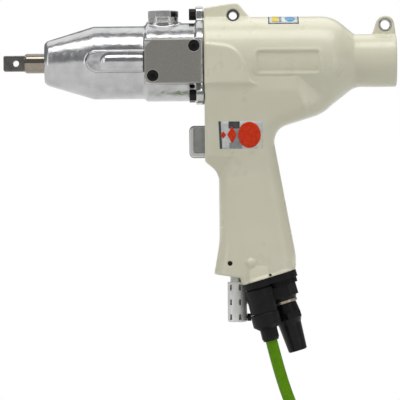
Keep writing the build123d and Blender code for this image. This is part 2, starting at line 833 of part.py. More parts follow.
vane_angles = [index * 360 / VANE_COUNT for index in range(VANE_COUNT)]
with BuildPart() as rotor:
    with BuildSketch(station(drive, cylinder_x + GAP)):
        Circle(ROTOR_R)
    extrude(amount=CYLINDER_LENGTH - 2 * GAP)
    with BuildSketch(station(drive, cylinder_x)):
        with PolarLocations(ROTOR_R - VANE_DEPTH / 2, VANE_COUNT):
            Rectangle(VANE_DEPTH + 1, VANE_THICK + 2 * RUNNING)
    extrude(amount=CYLINDER_LENGTH, mode=Mode.SUBTRACT)
    with BuildSketch(station(drive, hub_end_x + GAP)):
        Circle(ROTOR_SHAFT_R)
    extrude(amount=motor_end_x - hub_end_x - 2 * GAP)
    with BuildSketch(station(drive, hub_end_x - HUB_LENGTH * 0.6)):
        RegularPolygon(HUB_HEX_AF / 2, 6, major_radius=False)
    extrude(amount=HUB_LENGTH)
rotor.part.label = "rotor"
pieces.append(rotor)

with BuildPart() as rotor_vanes:
    with BuildSketch(station(drive, cylinder_x + GAP)):
        with PolarLocations(ROTOR_R - VANE_DEPTH / 2 + 0.3, VANE_COUNT):
            Rectangle(VANE_DEPTH - 0.4, VANE_THICK)
    extrude(amount=CYLINDER_LENGTH - 2 * GAP)
rotor_vanes.part.label = "rotor_vanes"
pieces.append(rotor_vanes)

# Grip and web in one form, drawn from the side, the rear and the top, with its long edges rounded
def half_width_outline(top_half, low_half):
    """Closed outline of the grip seen from the rear, wide at the barrel and narrow in the hand."""
    taper_blends = [WEB_TAPER_BLEND, GRIP_SHOULDER_BLEND]
    with BuildSketch(Plane.YZ.offset(GRIP_FOOT_X - BARREL_R)) as outline:
        with BuildLine():
            FilletPolyline(
                (-top_half, AXIS_Z),
                (-top_half, WEB_TAPER_TOP_Z),
                (-low_half, GRIP_SHOULDER_Z),
                (-low_half, GRIP_CUT_Z),
                (low_half, GRIP_CUT_Z),
                (low_half, GRIP_SHOULDER_Z),
                (top_half, WEB_TAPER_TOP_Z),
                (top_half, AXIS_Z),
                radius=[0, *taper_blends, 0, 0, *taper_blends[::-1], 0],
                close=True,
            )
        make_face()
    return outline.sketch


grip_width = half_width_outline(WEB_HALF, GRIP_HALF)
back_blends = [GRIP_BACK_BLEND, WEB_NECK_BLEND, WEB_BELLY_BLEND]
with BuildPart() as grip_form:
    with BuildSketch(Plane.XZ):
        with BuildLine():
            FilletPolyline(
                (GRIP_FRONT_X, AXIS_Z),
                (GRIP_FRONT_X, GRIP_FLARE_Z),
                (GRIP_FOOT_X, GRIP_CUT_Z + 8),
                (GRIP_FOOT_X, GRIP_CUT_Z),
                (GRIP_BACK_LOW[0], GRIP_CUT_Z),
                GRIP_BACK_LOW,
                WEB_NECK,
                WEB_BELLY,
                WEB_TAIL,
                (WEB_TAIL[0], AXIS_Z),
                radius=[0, GRIP_FLARE_BLEND, GRIP_FOOT_BLEND, 0, 0, *back_blends, 0, 0],
                close=True,
            )
        make_face()
    extrude(amount=WEB_HALF, both=True)
    extrude(grip_width, amount=3 * REAR_X, dir=(1, 0, 0), mode=Mode.INTERSECT)
    with BuildSketch(Plane.XY.offset(AXIS_Z + GAP)):
        with BuildLine():
            FilletPolyline(
                (GRIP_FOOT_X - 5, -WEB_HALF - 1.5),
                (WEB_TAIL_START_X, -WEB_HALF - 0.3),
                (WEB_TAIL[0] + 1, -WEB_TAIL_HALF),
                (WEB_TAIL[0] + 1, WEB_TAIL_HALF),
                (WEB_TAIL_START_X, WEB_HALF + 0.3),
                (GRIP_FOOT_X - 5, WEB_HALF + 1.5),
                radius=[0, 20, 0, 0, 20, 0],
                close=True,
            )
        make_face()
    extrude(amount=-2 * REAR_X, mode=Mode.INTERSECT)
    swept_faces = grip_form.faces().filter_by(
        lambda face: abs(face.normal_at().Y) < 0.01 and abs(face.normal_at().Z) < 0.999
    )
    long_edges = swept_faces.edges().filter_by(
        lambda edge: abs((edge % 0.5).Y) < 0.9 and abs(edge.center().Y) > WEB_TAIL_HALF / 2
    )
    long_edges = long_edges.filter_by(
        lambda edge: edge.center().X < WEB_TAIL[0] - 0.1 and GRIP_CUT_Z < edge.center().Z < AXIS_Z
    )
    fillet(long_edges, radius=GRIP_EDGE_R)

# Block behind the flange that carries the trigger, with a chin that fades into the grip
with BuildPart() as front_form:
    with BuildSketch(Plane.XZ):
        with BuildLine():
            FilletPolyline(
                (FACE_X, AXIS_Z),
                (FACE_X, FRONT_BLOCK_BOTTOM_Z),
                (GRIP_FRONT_X - 1.4, FRONT_BLOCK_BOTTOM_Z - 6),
                (GRIP_FRONT_X + 1, CHIN_Z),
                (FACE_X + FRONT_BLOCK_DEPTH, CHIN_Z),
                (FACE_X + FRONT_BLOCK_DEPTH, AXIS_Z),
                radius=[0, 0, 9, 0, 0, 0],
                close=True,
            )
        make_face()
    extrude(amount=WEB_HALF, both=True)
    extrude(grip_width, amount=3 * REAR_X, dir=(1, 0, 0), mode=Mode.INTERSECT)
    with BuildSketch(Plane.YZ.offset(FACE_X)):
        with BuildLine():
            Polyline(
                (-WEB_HALF, AXIS_Z),
                (-WEB_HALF, FRONT_BLOCK_BOTTOM_Z + 12),
                (-CHIN_HALF, CHIN_Z),
                (CHIN_HALF, CHIN_Z),
                (WEB_HALF, FRONT_BLOCK_BOTTOM_Z + 12),
                (WEB_HALF, AXIS_Z),
                close=True,
            )
        make_face()
    extrude(amount=FRONT_BLOCK_DEPTH, mode=Mode.INTERSECT)
    front_edges = front_form.faces().sort_by(Axis.X)[0].edges().filter_by(
        lambda edge: edge.center().Z < AXIS_Z - 1
    )
    fillet(front_edges, radius=FRONT_EDGE_R)

# Bulge on both sides behind the flange
with BuildPart() as bulge_form:
    with BuildSketch(Plane.XZ):
        with BuildLine():
            Line((FACE_X, BULGE_BOTTOM_Z), (FACE_X, BULGE_TOP_Z))
            Line((FACE_X, BULGE_TOP_Z), BULGE_EDGE[0])
            Spline(*BULGE_EDGE, tangents=[(1, -0.15), (1, -0.1)])
            Line(BULGE_EDGE[-1], (FACE_X, BULGE_BOTTOM_Z))
        make_face()
    extrude(amount=BULGE_HALF, both=True)
    outer_faces = bulge_form.faces().filter_by(Axis.Y)
    fillet(outer_faces.edges(), radius=BULGE_EDGE_R)

# Motor housing: barrel, rear tube, fin, lug, web, bulge and grip in one casting
motor_pocket_end_x = motor_end_x + MOTOR_POCKET_SPARE
tube_bore_x = REAR_X - TUBE_BORE_DEPTH
pocket_back_x = TRIGGER_FRONT_X + TRIGGER_DEPTH + TRIGGER_TRAVEL + 1.2
chamber_x = pocket_back_x + SLEEVE_LENGTH
chamber_end_x = chamber_x + CHAMBER_LENGTH
foot_drop = tan(radians(FOOT_SLOPE))
side_screws = [GRIP_SCREW, CONNECTOR_SCREW]
with BuildPart() as motor_housing:
    with BuildSketch(drive):
        with BuildLine():
            FilletPolyline(
                (FACE_X, 0),
                (FACE_X, BARREL_R),
                (BARREL_SHOULDER_X, BARREL_R),
                (TUBE_START_X, TUBE_R),
                (REAR_X, TUBE_R),
                (REAR_X, 0),
                radius=[0, 1, BARREL_SHOULDER_BLEND, TUBE_BLEND, 0.8, 0],
                close=True,
            )
        make_face()
    revolve(axis=Axis(drive.origin, drive.x_dir))
    add(grip_form.part)
    add(front_form.part)
    add(bulge_form.part)
    # Front suspension fin
    with BuildSketch(Plane.XZ):
        with BuildLine():
            FilletPolyline(
                (FACE_X, AXIS_Z),
                (FACE_X, FIN_FRONT_TOP),
                (FIN_PEAK[0] - 1.5, FIN_PEAK[1]),
                (FIN_PEAK[0] + 1.5, FIN_PEAK[1]),
                (FIN_REAR_X, -1.6),
                (FIN_REAR_X, AXIS_Z),
                radius=[0, 0.5, 4, 2.5, 0, 0],
                close=True,
            )
        make_face()
    extrude(amount=FIN_THICK / 2, both=True)
    # Rear suspension lug
    with BuildSketch(Plane.XZ):
        with Locations((LUG_X, LUG_Z)):
            Circle(LUG_TOP_R)
        with Locations((REAR_X - LUG_FOOT, AXIS_Z + TUBE_R - 2)):
            Rectangle(2 * LUG_FOOT - 0.4, 1)
        make_hull()
    extrude(amount=LUG_THICK / 2, both=True)
    # Foot of the grip and tilted base
    with BuildSketch(Plane.XZ):
        with BuildLine():
            corner = base_point(0, 0, 0)
            far = base_point(2 * BASE_LENGTH, 0, 0)
            Polyline(
                (GRIP_FOOT_X - 10, FOOT_Z + 12 * foot_drop),
                (BASE_X - FOOT_STEP, FOOT_Z - (BASE_X - FOOT_STEP + 12) * foot_drop),
                (corner.X, corner.Z),
                (far.X, far.Z),
                (far.X, GRIP_CUT_Z - 10),
                (GRIP_FOOT_X - 10, GRIP_CUT_Z - 10),
                close=True,
            )
        make_face()
    extrude(amount=WEB_HALF, both=True, mode=Mode.SUBTRACT)
    # Rim round the base, and the boss over the cable connector
    with BuildSketch(base_face):
        with Locations((BASE_LENGTH / 2 - 0.6, 0)):
            RectangleRounded(BASE_LENGTH + 1.8, 2 * (GRIP_HALF + BASE_RIM_PROUD), GRIP_EDGE_R)
    extrude(amount=BASE_RIM)
    with BuildSketch(base_face):
        with Locations((CONNECTOR_U, CONNECTOR_Y)):
            Circle(CONNECTOR_BOSS_R)
    extrude(amount=CONNECTOR_BOSS)
    # Bare panels on the barrel
    for side in (1, -1):
        with BuildSketch(Plane.XZ.offset(side * (BARREL_R - PANEL_DEPTH))):
            with Locations((PANEL_X, AXIS_Z - PANEL_DROP)):
                RectangleRounded(PANEL_LENGTH, PANEL_HEIGHT, PANEL_CORNER)
        extrude(amount=side * 2 * PANEL_DEPTH, mode=Mode.SUBTRACT)
    # Motor pocket, air port and shut-off bore
    with BuildSketch(drive):
        with BuildLine():
            Polyline(
                (FACE_X - 1, 0),
                (FACE_X - 1, MOTOR_R + RUNNING),
                (motor_pocket_end_x, MOTOR_R + RUNNING),
                (motor_pocket_end_x, PORT_R),
                (tube_bore_x, PORT_R),
                (tube_bore_x, TUBE_BORE_R),
                (REAR_X + 1, TUBE_BORE_R),
                (REAR_X + 1, 0),
                close=True,
            )
        make_face()
    revolve(axis=Axis(drive.origin, drive.x_dir), mode=Mode.SUBTRACT)
    # Suspension eyes and screw holes
    with BuildSketch(Plane.XZ):
        Circle(EYE_BUSH_R + RUNNING)
        with Locations((LUG_X, LUG_Z)):
            Circle(LUG_HOLE_R)
    extrude(amount=BARREL_R, both=True, mode=Mode.SUBTRACT)
    for x, z, radius, depth in side_screws:
        with BuildSketch(Plane.XZ.offset(GRIP_HALF - depth)):
            with Locations((x, z)):
                Circle(radius + RUNNING)
        extrude(amount=depth + 3, mode=Mode.SUBTRACT)
    with BuildSketch(base_face):
        with Locations(*BASE_SCREW_SPOTS):
            Circle(BASE_SCREW_R + RUNNING)
    extrude(amount=BASE_SCREW_LENGTH, mode=Mode.SUBTRACT)
    for seat in flange_seats:
        with BuildSketch(seat):
            Circle(M4_R + RUNNING)
        extrude(amount=-FLANGE_SCREW_LENGTH - 1, mode=Mode.SUBTRACT)
    # Trigger pocket and valve bore
    with BuildSketch(station(valve, FACE_X - 1)):
        Rectangle(TRIGGER_WIDTH + 2 * GAP, TRIGGER_HEIGHT + 2 * GAP)
    extrude(amount=pocket_back_x - FACE_X + 1, mode=Mode.SUBTRACT)
    with BuildSketch(station(valve, pocket_back_x)):
        Circle(SLEEVE_R)
    extrude(amount=chamber_end_x - pocket_back_x, mode=Mode.SUBTRACT)
    # Air passage up the grip, and exhaust passage down to the silencer
    inlet_end = Vector(chamber_x + DUCT_SETBACK, 0, VALVE_Z - DUCT_DROP)
    motor_start = Vector(pocket_back_x + DUCT_SETBACK, 0, VALVE_Z)
    motor_end = Vector(chamber_x + DUCT_REACH, 0, AXIS_Z - DUCT_TOP_DROP)
    exhaust_x = SILENCER_X - 2
    exhaust_turn = Vector(exhaust_x, EXHAUST_Y, EXHAUST_TURN_Z)
    exhaust_start = Vector(exhaust_x, EXHAUST_Y, EXHAUST_TURN_Z - EXHAUST_LAP)
    exhaust_end = Vector(exhaust_x, EXHAUST_Y, AXIS_Z - DUCT_TOP_DROP)
    ducts = [
        (base_point(INLET_U, INLET_Y, 0), inlet_end, PORT_R),
        (motor_start, motor_end, PORT_R * 0.8),
        (Vector(SILENCER_X, 0, SILENCER_TOP_Z), exhaust_turn, PORT_R * 0.8),
        (exhaust_start, exhaust_end, PORT_R * 0.5),
    ]
    for low, high, radius in ducts:
        with BuildSketch(Plane(origin=low, z_dir=high - low)):
            Circle(radius)
        extrude(amount=(high - low).length, mode=Mode.SUBTRACT)
    # Seats of the inlet bushing, the connector and the silencer neck
    with BuildSketch(station(inlet, 0)):
        Circle(BUSHING_STEM_R + RUNNING)
    extrude(amount=-BUSHING_STEM - 1, mode=Mode.SUBTRACT)
    with BuildSketch(station(connector, 1)):
        Circle(RECEPTACLE_R + RUNNING)
    extrude(amount=-RECEPTACLE_DEPTH - 1.5, mode=Mode.SUBTRACT)
    with BuildSketch(station(silencer_line, 0)):
        Circle(SILENCER_NECK_R + RUNNING)
    extrude(amount=-SILENCER_NECK - 0.3, mode=Mode.SUBTRACT)
    with BuildSketch(station(silencer_line, -GAP)):
        Circle(SILENCER_R + GAP)
    extrude(amount=SILENCER_R, mode=Mode.SUBTRACT)
motor_housing.part.label = "motor_housing"
pieces.append(motor_housing)

# Steel bush in the front suspension eye
with BuildPart() as eye_bush:
    with BuildSketch(Plane.XZ):
        Circle(EYE_BUSH_R)
        Circle(EYE_R, mode=Mode.SUBTRACT)
    extrude(amount=FIN_THICK / 2 + 0.3, both=True)
eye_bush.part.label = "eye_bush"
pieces.append(eye_bush)

# Trigger, its rod and the throttle valve behind it
spring_floor_x = TRIGGER_FRONT_X + TRIGGER_DEPTH / 2
valve_x = chamber_x + RUNNING
with BuildPart() as trigger:
    with BuildSketch(Plane.XZ):
        with Locations((TRIGGER_FRONT_X + TRIGGER_DEPTH / 2, VALVE_Z)):
            RectangleRounded(TRIGGER_DEPTH, TRIGGER_HEIGHT, TRIGGER_CORNER)
    extrude(amount=TRIGGER_WIDTH / 2, both=True)
    fillet(trigger.faces().filter_by(Axis.Y).edges(), radius=1.2)
    for side in (1, -1):
        with BuildSketch(Plane.XZ.offset(side * (TRIGGER_WIDTH / 2 - TRIGGER_RECESS))):
            with Locations((TRIGGER_FRONT_X + TRIGGER_RIM + TRIGGER_DEPTH / 2, VALVE_Z + 1)):
                RectangleRounded(TRIGGER_DEPTH, TRIGGER_HEIGHT - 4, 1.5)
        extrude(amount=side * 2 * TRIGGER_RECESS, mode=Mode.SUBTRACT)
    with BuildSketch(station(valve, spring_floor_x)):
        Circle(SLEEVE_R - 1.4)
    extrude(amount=TRIGGER_DEPTH, mode=Mode.SUBTRACT)
    with BuildSketch(station(valve, spring_floor_x - 3)):
        Circle(ROD_R + RUNNING)
    extrude(amount=4, mode=Mode.SUBTRACT)
trigger.part.label = "trigger"
pieces.append(trigger)

turned("trigger_rod", valve, tube_profile(spring_floor_x - 2.9, valve_x, 0, ROD_R))
coil_spring("trigger_spring", valve, spring_floor_x + 0.5, pocket_back_x - spring_floor_x - 1, SLEEVE_R - 2.4, 5)
turned(
    "throttle_valve",
    valve,
    [
        (valve_x, 0),
        (valve_x, VALVE_R),
        (valve_x + VALVE_THICK / 3, VALVE_R),
        (valve_x + VALVE_THICK / 2, VALVE_R - 0.8),
        (valve_x + VALVE_THICK * 2 / 3, VALVE_R),
        (valve_x + VALVE_THICK, VALVE_R),
        (valve_x + VALVE_THICK, 0),
    ],
)
with BuildPart() as valve_sleeve:
    with BuildSketch(valve):
        with BuildLine():
            Polyline(
                (pocket_back_x, ROD_R + RUNNING),
                (pocket_back_x, SLEEVE_R - RUNNING),
                (chamber_x, SLEEVE_R - RUNNING),
                (chamber_x, VALVE_R - 1),
                (pocket_back_x + SLEEVE_LENGTH / 2, VALVE_R - 1),
                (pocket_back_x + SLEEVE_LENGTH / 2, ROD_R + RUNNING),
                close=True,
            )
        make_face()
    revolve(axis=Axis(valve.origin, valve.x_dir))
    for angle in (0, 90):
        cross = Plane.XY if angle else Plane.XZ
        with BuildSketch(Plane(origin=(chamber_x - 3, 0, VALVE_Z), x_dir=(1, 0, 0), z_dir=cross.z_dir)):
            Circle(1.6)
        extrude(amount=SLEEVE_R, both=True, mode=Mode.SUBTRACT)
valve_sleeve.part.label = "valve_sleeve"
pieces.append(valve_sleeve)
coil_spring(
    "valve_spring", valve, valve_x + VALVE_THICK + 0.5, CHAMBER_LENGTH - VALVE_THICK - 1, VALVE_R - 1.4, 3
)

# Electric shut-off valve in the rear tube
plunger_x = tube_bore_x + PLUNGER_TRAVEL + 0.3
coil_start_x = plunger_x + PLUNGER_HEAD + GAP
rear_plug_x = REAR_X - REAR_PLUG_SETBACK - REAR_PLUG_LENGTH
plunger_end_x = plunger_x + PLUNGER_HEAD + PLUNGER_STEM
turned(
    "shut_off_plunger",
    drive,
    [
        (plunger_x, 0),
        (plunger_x, PLUNGER_HEAD_R),
        (plunger_x + PLUNGER_HEAD, PLUNGER_HEAD_R),
        (plunger_x + PLUNGER_HEAD, PLUNGER_R),
        (plunger_end_x, PLUNGER_R),
        (plunger_end_x, 0),
    ],
)
turned(
    "shut_off_coil",
    drive,
    tube_profile(coil_start_x, coil_start_x + SOLENOID_LENGTH, PLUNGER_R + RUNNING, TUBE_BORE_R - RUNNING),
)
coil_spring("shut_off_spring", drive, plunger_end_x + 0.5, rear_plug_x - plunger_end_x - 1, PLUNGER_R - 1, 4)
with BuildPart() as rear_plug:
    with BuildSketch(station(drive, rear_plug_x)):
        Circle(TUBE_BORE_R - RUNNING)
    extrude(amount=REAR_PLUG_LENGTH)
    with BuildSketch(station(drive, rear_plug_x + REAR_PLUG_LENGTH)):
        with Locations((0, TUBE_BORE_R * 0.6), (0, -TUBE_BORE_R * 0.6)):
            Circle(1.5)
    extrude(amount=-2.5, mode=Mode.SUBTRACT)
rear_plug.part.label = "rear_plug"
pieces.append(rear_plug)

# Black plate under the tilted base, with a boss for the air inlet and sunk screws
inlet_seat = BASE_PLATE + INLET_BOSS
with BuildPart() as base_plate:
    with BuildSketch(base_face):
        with Locations((BASE_LENGTH / 2 + 0.2, 0)):
            RectangleRounded(BASE_LENGTH, 2 * GRIP_HALF, GRIP_EDGE_R - 1)
        with Locations((CONNECTOR_U, CONNECTOR_Y)):
            Circle(CONNECTOR_BOSS_R)
    extrude(amount=-BASE_PLATE)
    with BuildSketch(base_face.offset(-BASE_PLATE)):
        with Locations((INLET_U, INLET_Y)):
            Circle(INLET_BOSS_R)
        with Locations((BASE_LENGTH - 0.6 - INLET_BOSS_LENGTH / 2, INLET_Y - 0.3)):
            RectangleRounded(INLET_BOSS_LENGTH, INLET_BOSS_WIDTH, INLET_BOSS_LENGTH / 2 - 0.3)
    extrude(amount=-INLET_BOSS)
    with BuildSketch(station(inlet, 0)):
        Circle(BUSHING_STEM_R + RUNNING)
    extrude(amount=inlet_seat, mode=Mode.SUBTRACT)
    with BuildSketch(station(connector, -1)):
        Circle(RECEPTACLE_R + RUNNING)
    extrude(amount=inlet_seat + 1, mode=Mode.SUBTRACT)
    with BuildSketch(base_face):
        with Locations(*BASE_SCREW_SPOTS):
            Circle(BASE_SCREW_R + RUNNING)
    extrude(amount=-BASE_PLATE, mode=Mode.SUBTRACT)
    with BuildSketch(base_face.offset(-BASE_PLATE)):
        with Locations(*BASE_SCREW_SPOTS):
            Circle(BASE_SCREW_HEAD_R + RUNNING)
    extrude(amount=BASE_SCREW_HEAD + 0.1, mode=Mode.SUBTRACT)
    with BuildSketch(station(silencer_line, -GAP)):
        Circle(SILENCER_R + GAP)
    extrude(amount=2 * SILENCER_R, mode=Mode.SUBTRACT)
base_plate.part.label = "base_plate"
pieces.append(base_plate)

base_screw_seats = [
    Plane(
        origin=base_point(u, y, BASE_PLATE - BASE_SCREW_HEAD - 0.1), x_dir=(0, 1, 0), z_dir=base_down
    )
    for u, y in BASE_SCREW_SPOTS
]
socket_screws(
    "base_screws",
    base_screw_seats,
    BASE_SCREW_R,
    BASE_SCREW_LENGTH,
    BASE_SCREW_HEAD_R,
    BASE_SCREW_HEAD,
    2 * BASE_SCREW_R * 0.7,
)

# Hex bushing of the air inlet with its strainer
bushing_end = inlet_seat + BUSHING_HEX + BUSHING_CHAMFER
with BuildPart() as inlet_bushing:
    with BuildSketch(station(inlet, -BUSHING_STEM)):
        Circle(BUSHING_STEM_R)
    extrude(amount=BUSHING_STEM + inlet_seat)
    with BuildSketch(station(inlet, inlet_seat)):
        RegularPolygon(BUSHING_AF / 2, 6, major_radius=False, rotation=30)
    extrude(amount=BUSHING_HEX)
    with BuildSketch(station(inlet, inlet_seat + BUSHING_HEX)):
        Circle(BUSHING_AF / 2)
    extrude(amount=BUSHING_CHAMFER, taper=20)
    with BuildSketch(station(inlet, -BUSHING_STEM)):
        Circle(SPIGOT_R + RUNNING)
    extrude(amount=BUSHING_STEM + bushing_end, mode=Mode.SUBTRACT)
inlet_bushing.part.label = "inlet_bushing"
pieces.append(inlet_bushing)

with BuildPart() as inlet_strainer:
    with BuildSketch(station(inlet, -BUSHING_STEM)):
        Circle(BUSHING_STEM_R)
        with PolarLocations(BUSHING_STEM_R * 0.5, 6):
            Circle(1.0, mode=Mode.SUBTRACT)
    extrude(amount=-0.8)
inlet_strainer.part.label = "inlet_strainer"
pieces.append(inlet_strainer)

# Swivel for the air hose, held by a ring
ring_start = bushing_end + SLIP
swivel_start = ring_start + RING_THICK + 0.3
turned(
    "retaining_ring", inlet, tube_profile(ring_start, ring_start + RING_THICK, SPIGOT_R + RUNNING, RING_R)
)
seal_start = swivel_start - SPIGOT_LENGTH + 3
hex_start = swivel_start + SWIVEL_HEX_START
hex_end = hex_start + SWIVEL_HEX
swivel_end = swivel_start + SWIVEL_LENGTH
with BuildPart() as swivel_body:
    with BuildSketch(inlet):
        with BuildLine():
            Polyline(
                (swivel_start - SPIGOT_LENGTH, HOSE_BORE_R),
                (swivel_start - SPIGOT_LENGTH, SPIGOT_R),
                (seal_start, SPIGOT_R),
                (seal_start, SPIGOT_R - 0.8),
                (seal_start + 2, SPIGOT_R - 0.8),
                (seal_start + 2, SPIGOT_R),
                (swivel_start, SPIGOT_R),
                (swivel_start, SWIVEL_NECK_R),
                (hex_start, SWIVEL_HEX_AF / 2),
                (hex_end, SWIVEL_HEX_AF / 2),
                (hex_end + 1, SWIVEL_MID_R + 0.8),
                (hex_end + 3, SWIVEL_MID_R),
                (swivel_end - 0.6, SWIVEL_END_R + 0.2),
                (swivel_end, SWIVEL_END_R - 0.4),
                (swivel_end, HOSE_BORE_R),
                close=True,
            )
        make_face()
    revolve(axis=Axis(inlet.origin, inlet.x_dir))
    with BuildSketch(station(inlet, hex_start)):
        RegularPolygon(SWIVEL_HEX_AF / 2, 6, major_radius=False)
        Circle(SWIVEL_MID_R - 1, mode=Mode.SUBTRACT)
    extrude(amount=SWIVEL_HEX)
swivel_body.part.label = "swivel_body"
pieces.append(swivel_body)
turned("swivel_seal", inlet, tube_profile(seal_start + 0.1, seal_start + 1.9, SPIGOT_R - 0.8, SPIGOT_R))

# Cable connector: fixed receptacle, coupling nut, backshell and cable clamp
nut_start = BASE_PLATE + 0.7
nut_end = nut_start + NUT_LENGTH
shell_start = nut_end + 0.3
shell_end = shell_start + SHELL_LENGTH + SHELL_TAPER
clamp_end = shell_end + CLAMP_LENGTH
turned(
    "connector_receptacle",
    connector,
    [
        (-RECEPTACLE_DEPTH, 0),
        (-RECEPTACLE_DEPTH, RECEPTACLE_R),
        (RECEPTACLE_LENGTH, RECEPTACLE_R),
        (RECEPTACLE_LENGTH, RECEPTACLE_R - 1.2),
        (BASE_PLATE + 1, RECEPTACLE_R - 1.2),
        (BASE_PLATE + 1, 0),
    ],
)
turned(
    "coupling_nut",
    connector,
    [
        (nut_start, RECEPTACLE_R + RUNNING),
        (nut_start, NUT_R - 0.5),
        (nut_start + 0.5, NUT_R),
        (nut_end, NUT_R),
        (nut_end, SHELL_SLEEVE_R + RUNNING),
        (nut_end - NUT_LIP, SHELL_SLEEVE_R + RUNNING),
        (nut_end - NUT_LIP, RECEPTACLE_R + RUNNING),
    ],
)
turned(
    "connector_shell",
    connector,
    [
        (RECEPTACLE_LENGTH + 0.3, 0),
        (RECEPTACLE_LENGTH + 0.3, SHELL_SLEEVE_R),
        (shell_start, SHELL_SLEEVE_R),
        (shell_start, SHELL_R - 0.4),
        (shell_start + 0.6, SHELL_R),
        (shell_start + SHELL_LENGTH, SHELL_R),
        (shell_end, CLAMP_R + 0.5),
        (shell_end, 0),
    ],
)
with BuildPart() as cable_clamp:
    with BuildSketch(station(connector, shell_end)):
        RegularPolygon(CLAMP_R, CLAMP_FLAT_COUNT, major_radius=False)
    extrude(amount=CLAMP_LENGTH - 1.5)
    with BuildSketch(station(connector, clamp_end - 1.5)):
        Circle(CLAMP_R)
    extrude(amount=1.5, taper=20)
cable_clamp.part.label = "cable_clamp"
pieces.append(cable_clamp)

# Silencer: neck, slotted sleeve, felt and two small screws
silencer_length = SILENCER_TOP_Z - SILENCER_BOTTOM_Z
turned(
    "silencer_neck",
    silencer_line,
    tube_profile(-SILENCER_NECK, 1.6, SILENCER_NECK_BORE_R, SILENCER_NECK_R),
)
with BuildPart() as silencer_sleeve:
    with BuildSketch(silencer_line):
        with BuildLine():
            Polyline(
                (0, SILENCER_NECK_R + RUNNING),
                (0, SILENCER_R),
                (silencer_length - 0.8, SILENCER_R),
                (silencer_length, SILENCER_R - 0.8),
                (silencer_length, 0),
                (silencer_length - 1.5, 0),
                (silencer_length - 1.5, SILENCER_R - SILENCER_WALL),
                (1.2, SILENCER_R - SILENCER_WALL),
                (1.2, SILENCER_NECK_R + RUNNING),
                close=True,
            )
        make_face()
    revolve(axis=Axis(silencer_line.origin, silencer_line.x_dir))
    for drop in SLOT_ROWS:
        for place in range(SLOT_COUNT - 1):
            angle = radians(SLOT_START_ANGLE - place * 360 / SLOT_COUNT)
            outward = Vector(cos(angle), sin(angle), 0)
            with BuildSketch(
                Plane(origin=(SILENCER_X, 0, SILENCER_TOP_Z - drop), x_dir=(0, 0, 1), z_dir=outward)
            ):
                Rectangle(SLOT_HEIGHT, SLOT_WIDTH)
            extrude(amount=SILENCER_R + 1, mode=Mode.SUBTRACT)
    for drop in PINCH_SCREW_DROPS:
        with BuildSketch(Plane(origin=(SILENCER_X, 0, SILENCER_TOP_Z - drop), z_dir=(1, 0, 0))):
            Circle(PINCH_SCREW_R + RUNNING)
        extrude(amount=SILENCER_R + 1, mode=Mode.SUBTRACT)
silencer_sleeve.part.label = "silencer_sleeve"
pieces.append(silencer_sleeve)
felt_r = SILENCER_R - SILENCER_WALL - 0.3
turned("silencer_felt", silencer_line, tube_profile(1.9, silencer_length - 1.8, SILENCER_NECK_BORE_R, felt_r - 0.9))
pinch_seats = [
    Plane(origin=(SILENCER_X + SILENCER_R + 0.1, 0, SILENCER_TOP_Z - drop), x_dir=(0, 1, 0), z_dir=(1, 0, 0))
    for drop in PINCH_SCREW_DROPS
]
socket_screws(
    "silencer_screws",
    pinch_seats,
    PINCH_SCREW_R,
    PINCH_SCREW_LENGTH,
    PINCH_HEAD_R,
    PINCH_HEAD,
    PINCH_SCREW_R * 1.7,
)

# Set screws in the left side of the grip
with BuildPart() as grip_screws:
    for x, z, radius, depth in side_screws:
        with BuildSketch(Plane.XZ.offset(GRIP_HALF - depth)):
            with Locations((x, z)):
                Circle(radius)
        extrude(amount=depth - 1.2)
grip_screws.part.label = "grip_screws"
pieces.append(grip_screws)


def fitted_radii(points):
    """Largest bend radius at each corner of a route, for runs that share their length fairly."""
    radii = []
    for before, corner, after in zip(points, points[1:], points[2:]):
        run_in = Vector(corner) - Vector(before)
        run_out = Vector(after) - Vector(corner)
        turn = radians(run_in.get_angle(run_out))
        radii.append(0.45 * min(run_in.length, run_out.length) / tan(turn / 2))
    return radii


def cable_along(label, points):
    """Round cable along straight runs joined by tangent arcs."""
    radii = fitted_radii(points)
    print(label, "bend radii", [round(radius, 1) for radius in radii])
    with BuildPart() as piece:
        with BuildLine():
            path = FilletPolyline(*points, radius=radii)
        with BuildSketch(Plane(origin=path @ 0, z_dir=path % 0)):
            Circle(CABLE_R)
        sweep(path=path)
    share = piece.part.volume / (path.length * pi * CABLE_R**2)
    print(label, "length", round(path.length, 1), "volume as a share of section times length", round(share, 4))
    piece.part.label = label
    pieces.append(piece)


# Cable from the clamp down to the bench, its coil, and the tail that ends in a plug
cable_start = [
    tuple(connector.origin + connector_down * (clamp_end + run)) for run in (0, CABLE_FIRST_RUN)
]
cable_along("cable_tube", cable_start + CABLE_ROUTE)
coil_axis = turning_plane((*COIL_CENTRE, BENCH_Z + TIE_THICK), (0, 0, 1))
coil_half = COIL_COLUMNS * CABLE_R
coil_height = 2 * COIL_LAYERS * CABLE_R
with BuildPart() as cable_coil:
    with BuildSketch(coil_axis):
        with Locations((coil_height / 2, COIL_MID_R)):
            RectangleRounded(coil_height, 2 * coil_half, CABLE_R)
    revolve(axis=Axis(coil_axis.origin, coil_axis.x_dir))
cable_coil.part.label = "cable_coil"
pieces.append(cable_coil)
cable_along("cable_tail", TAIL_ROUTE)

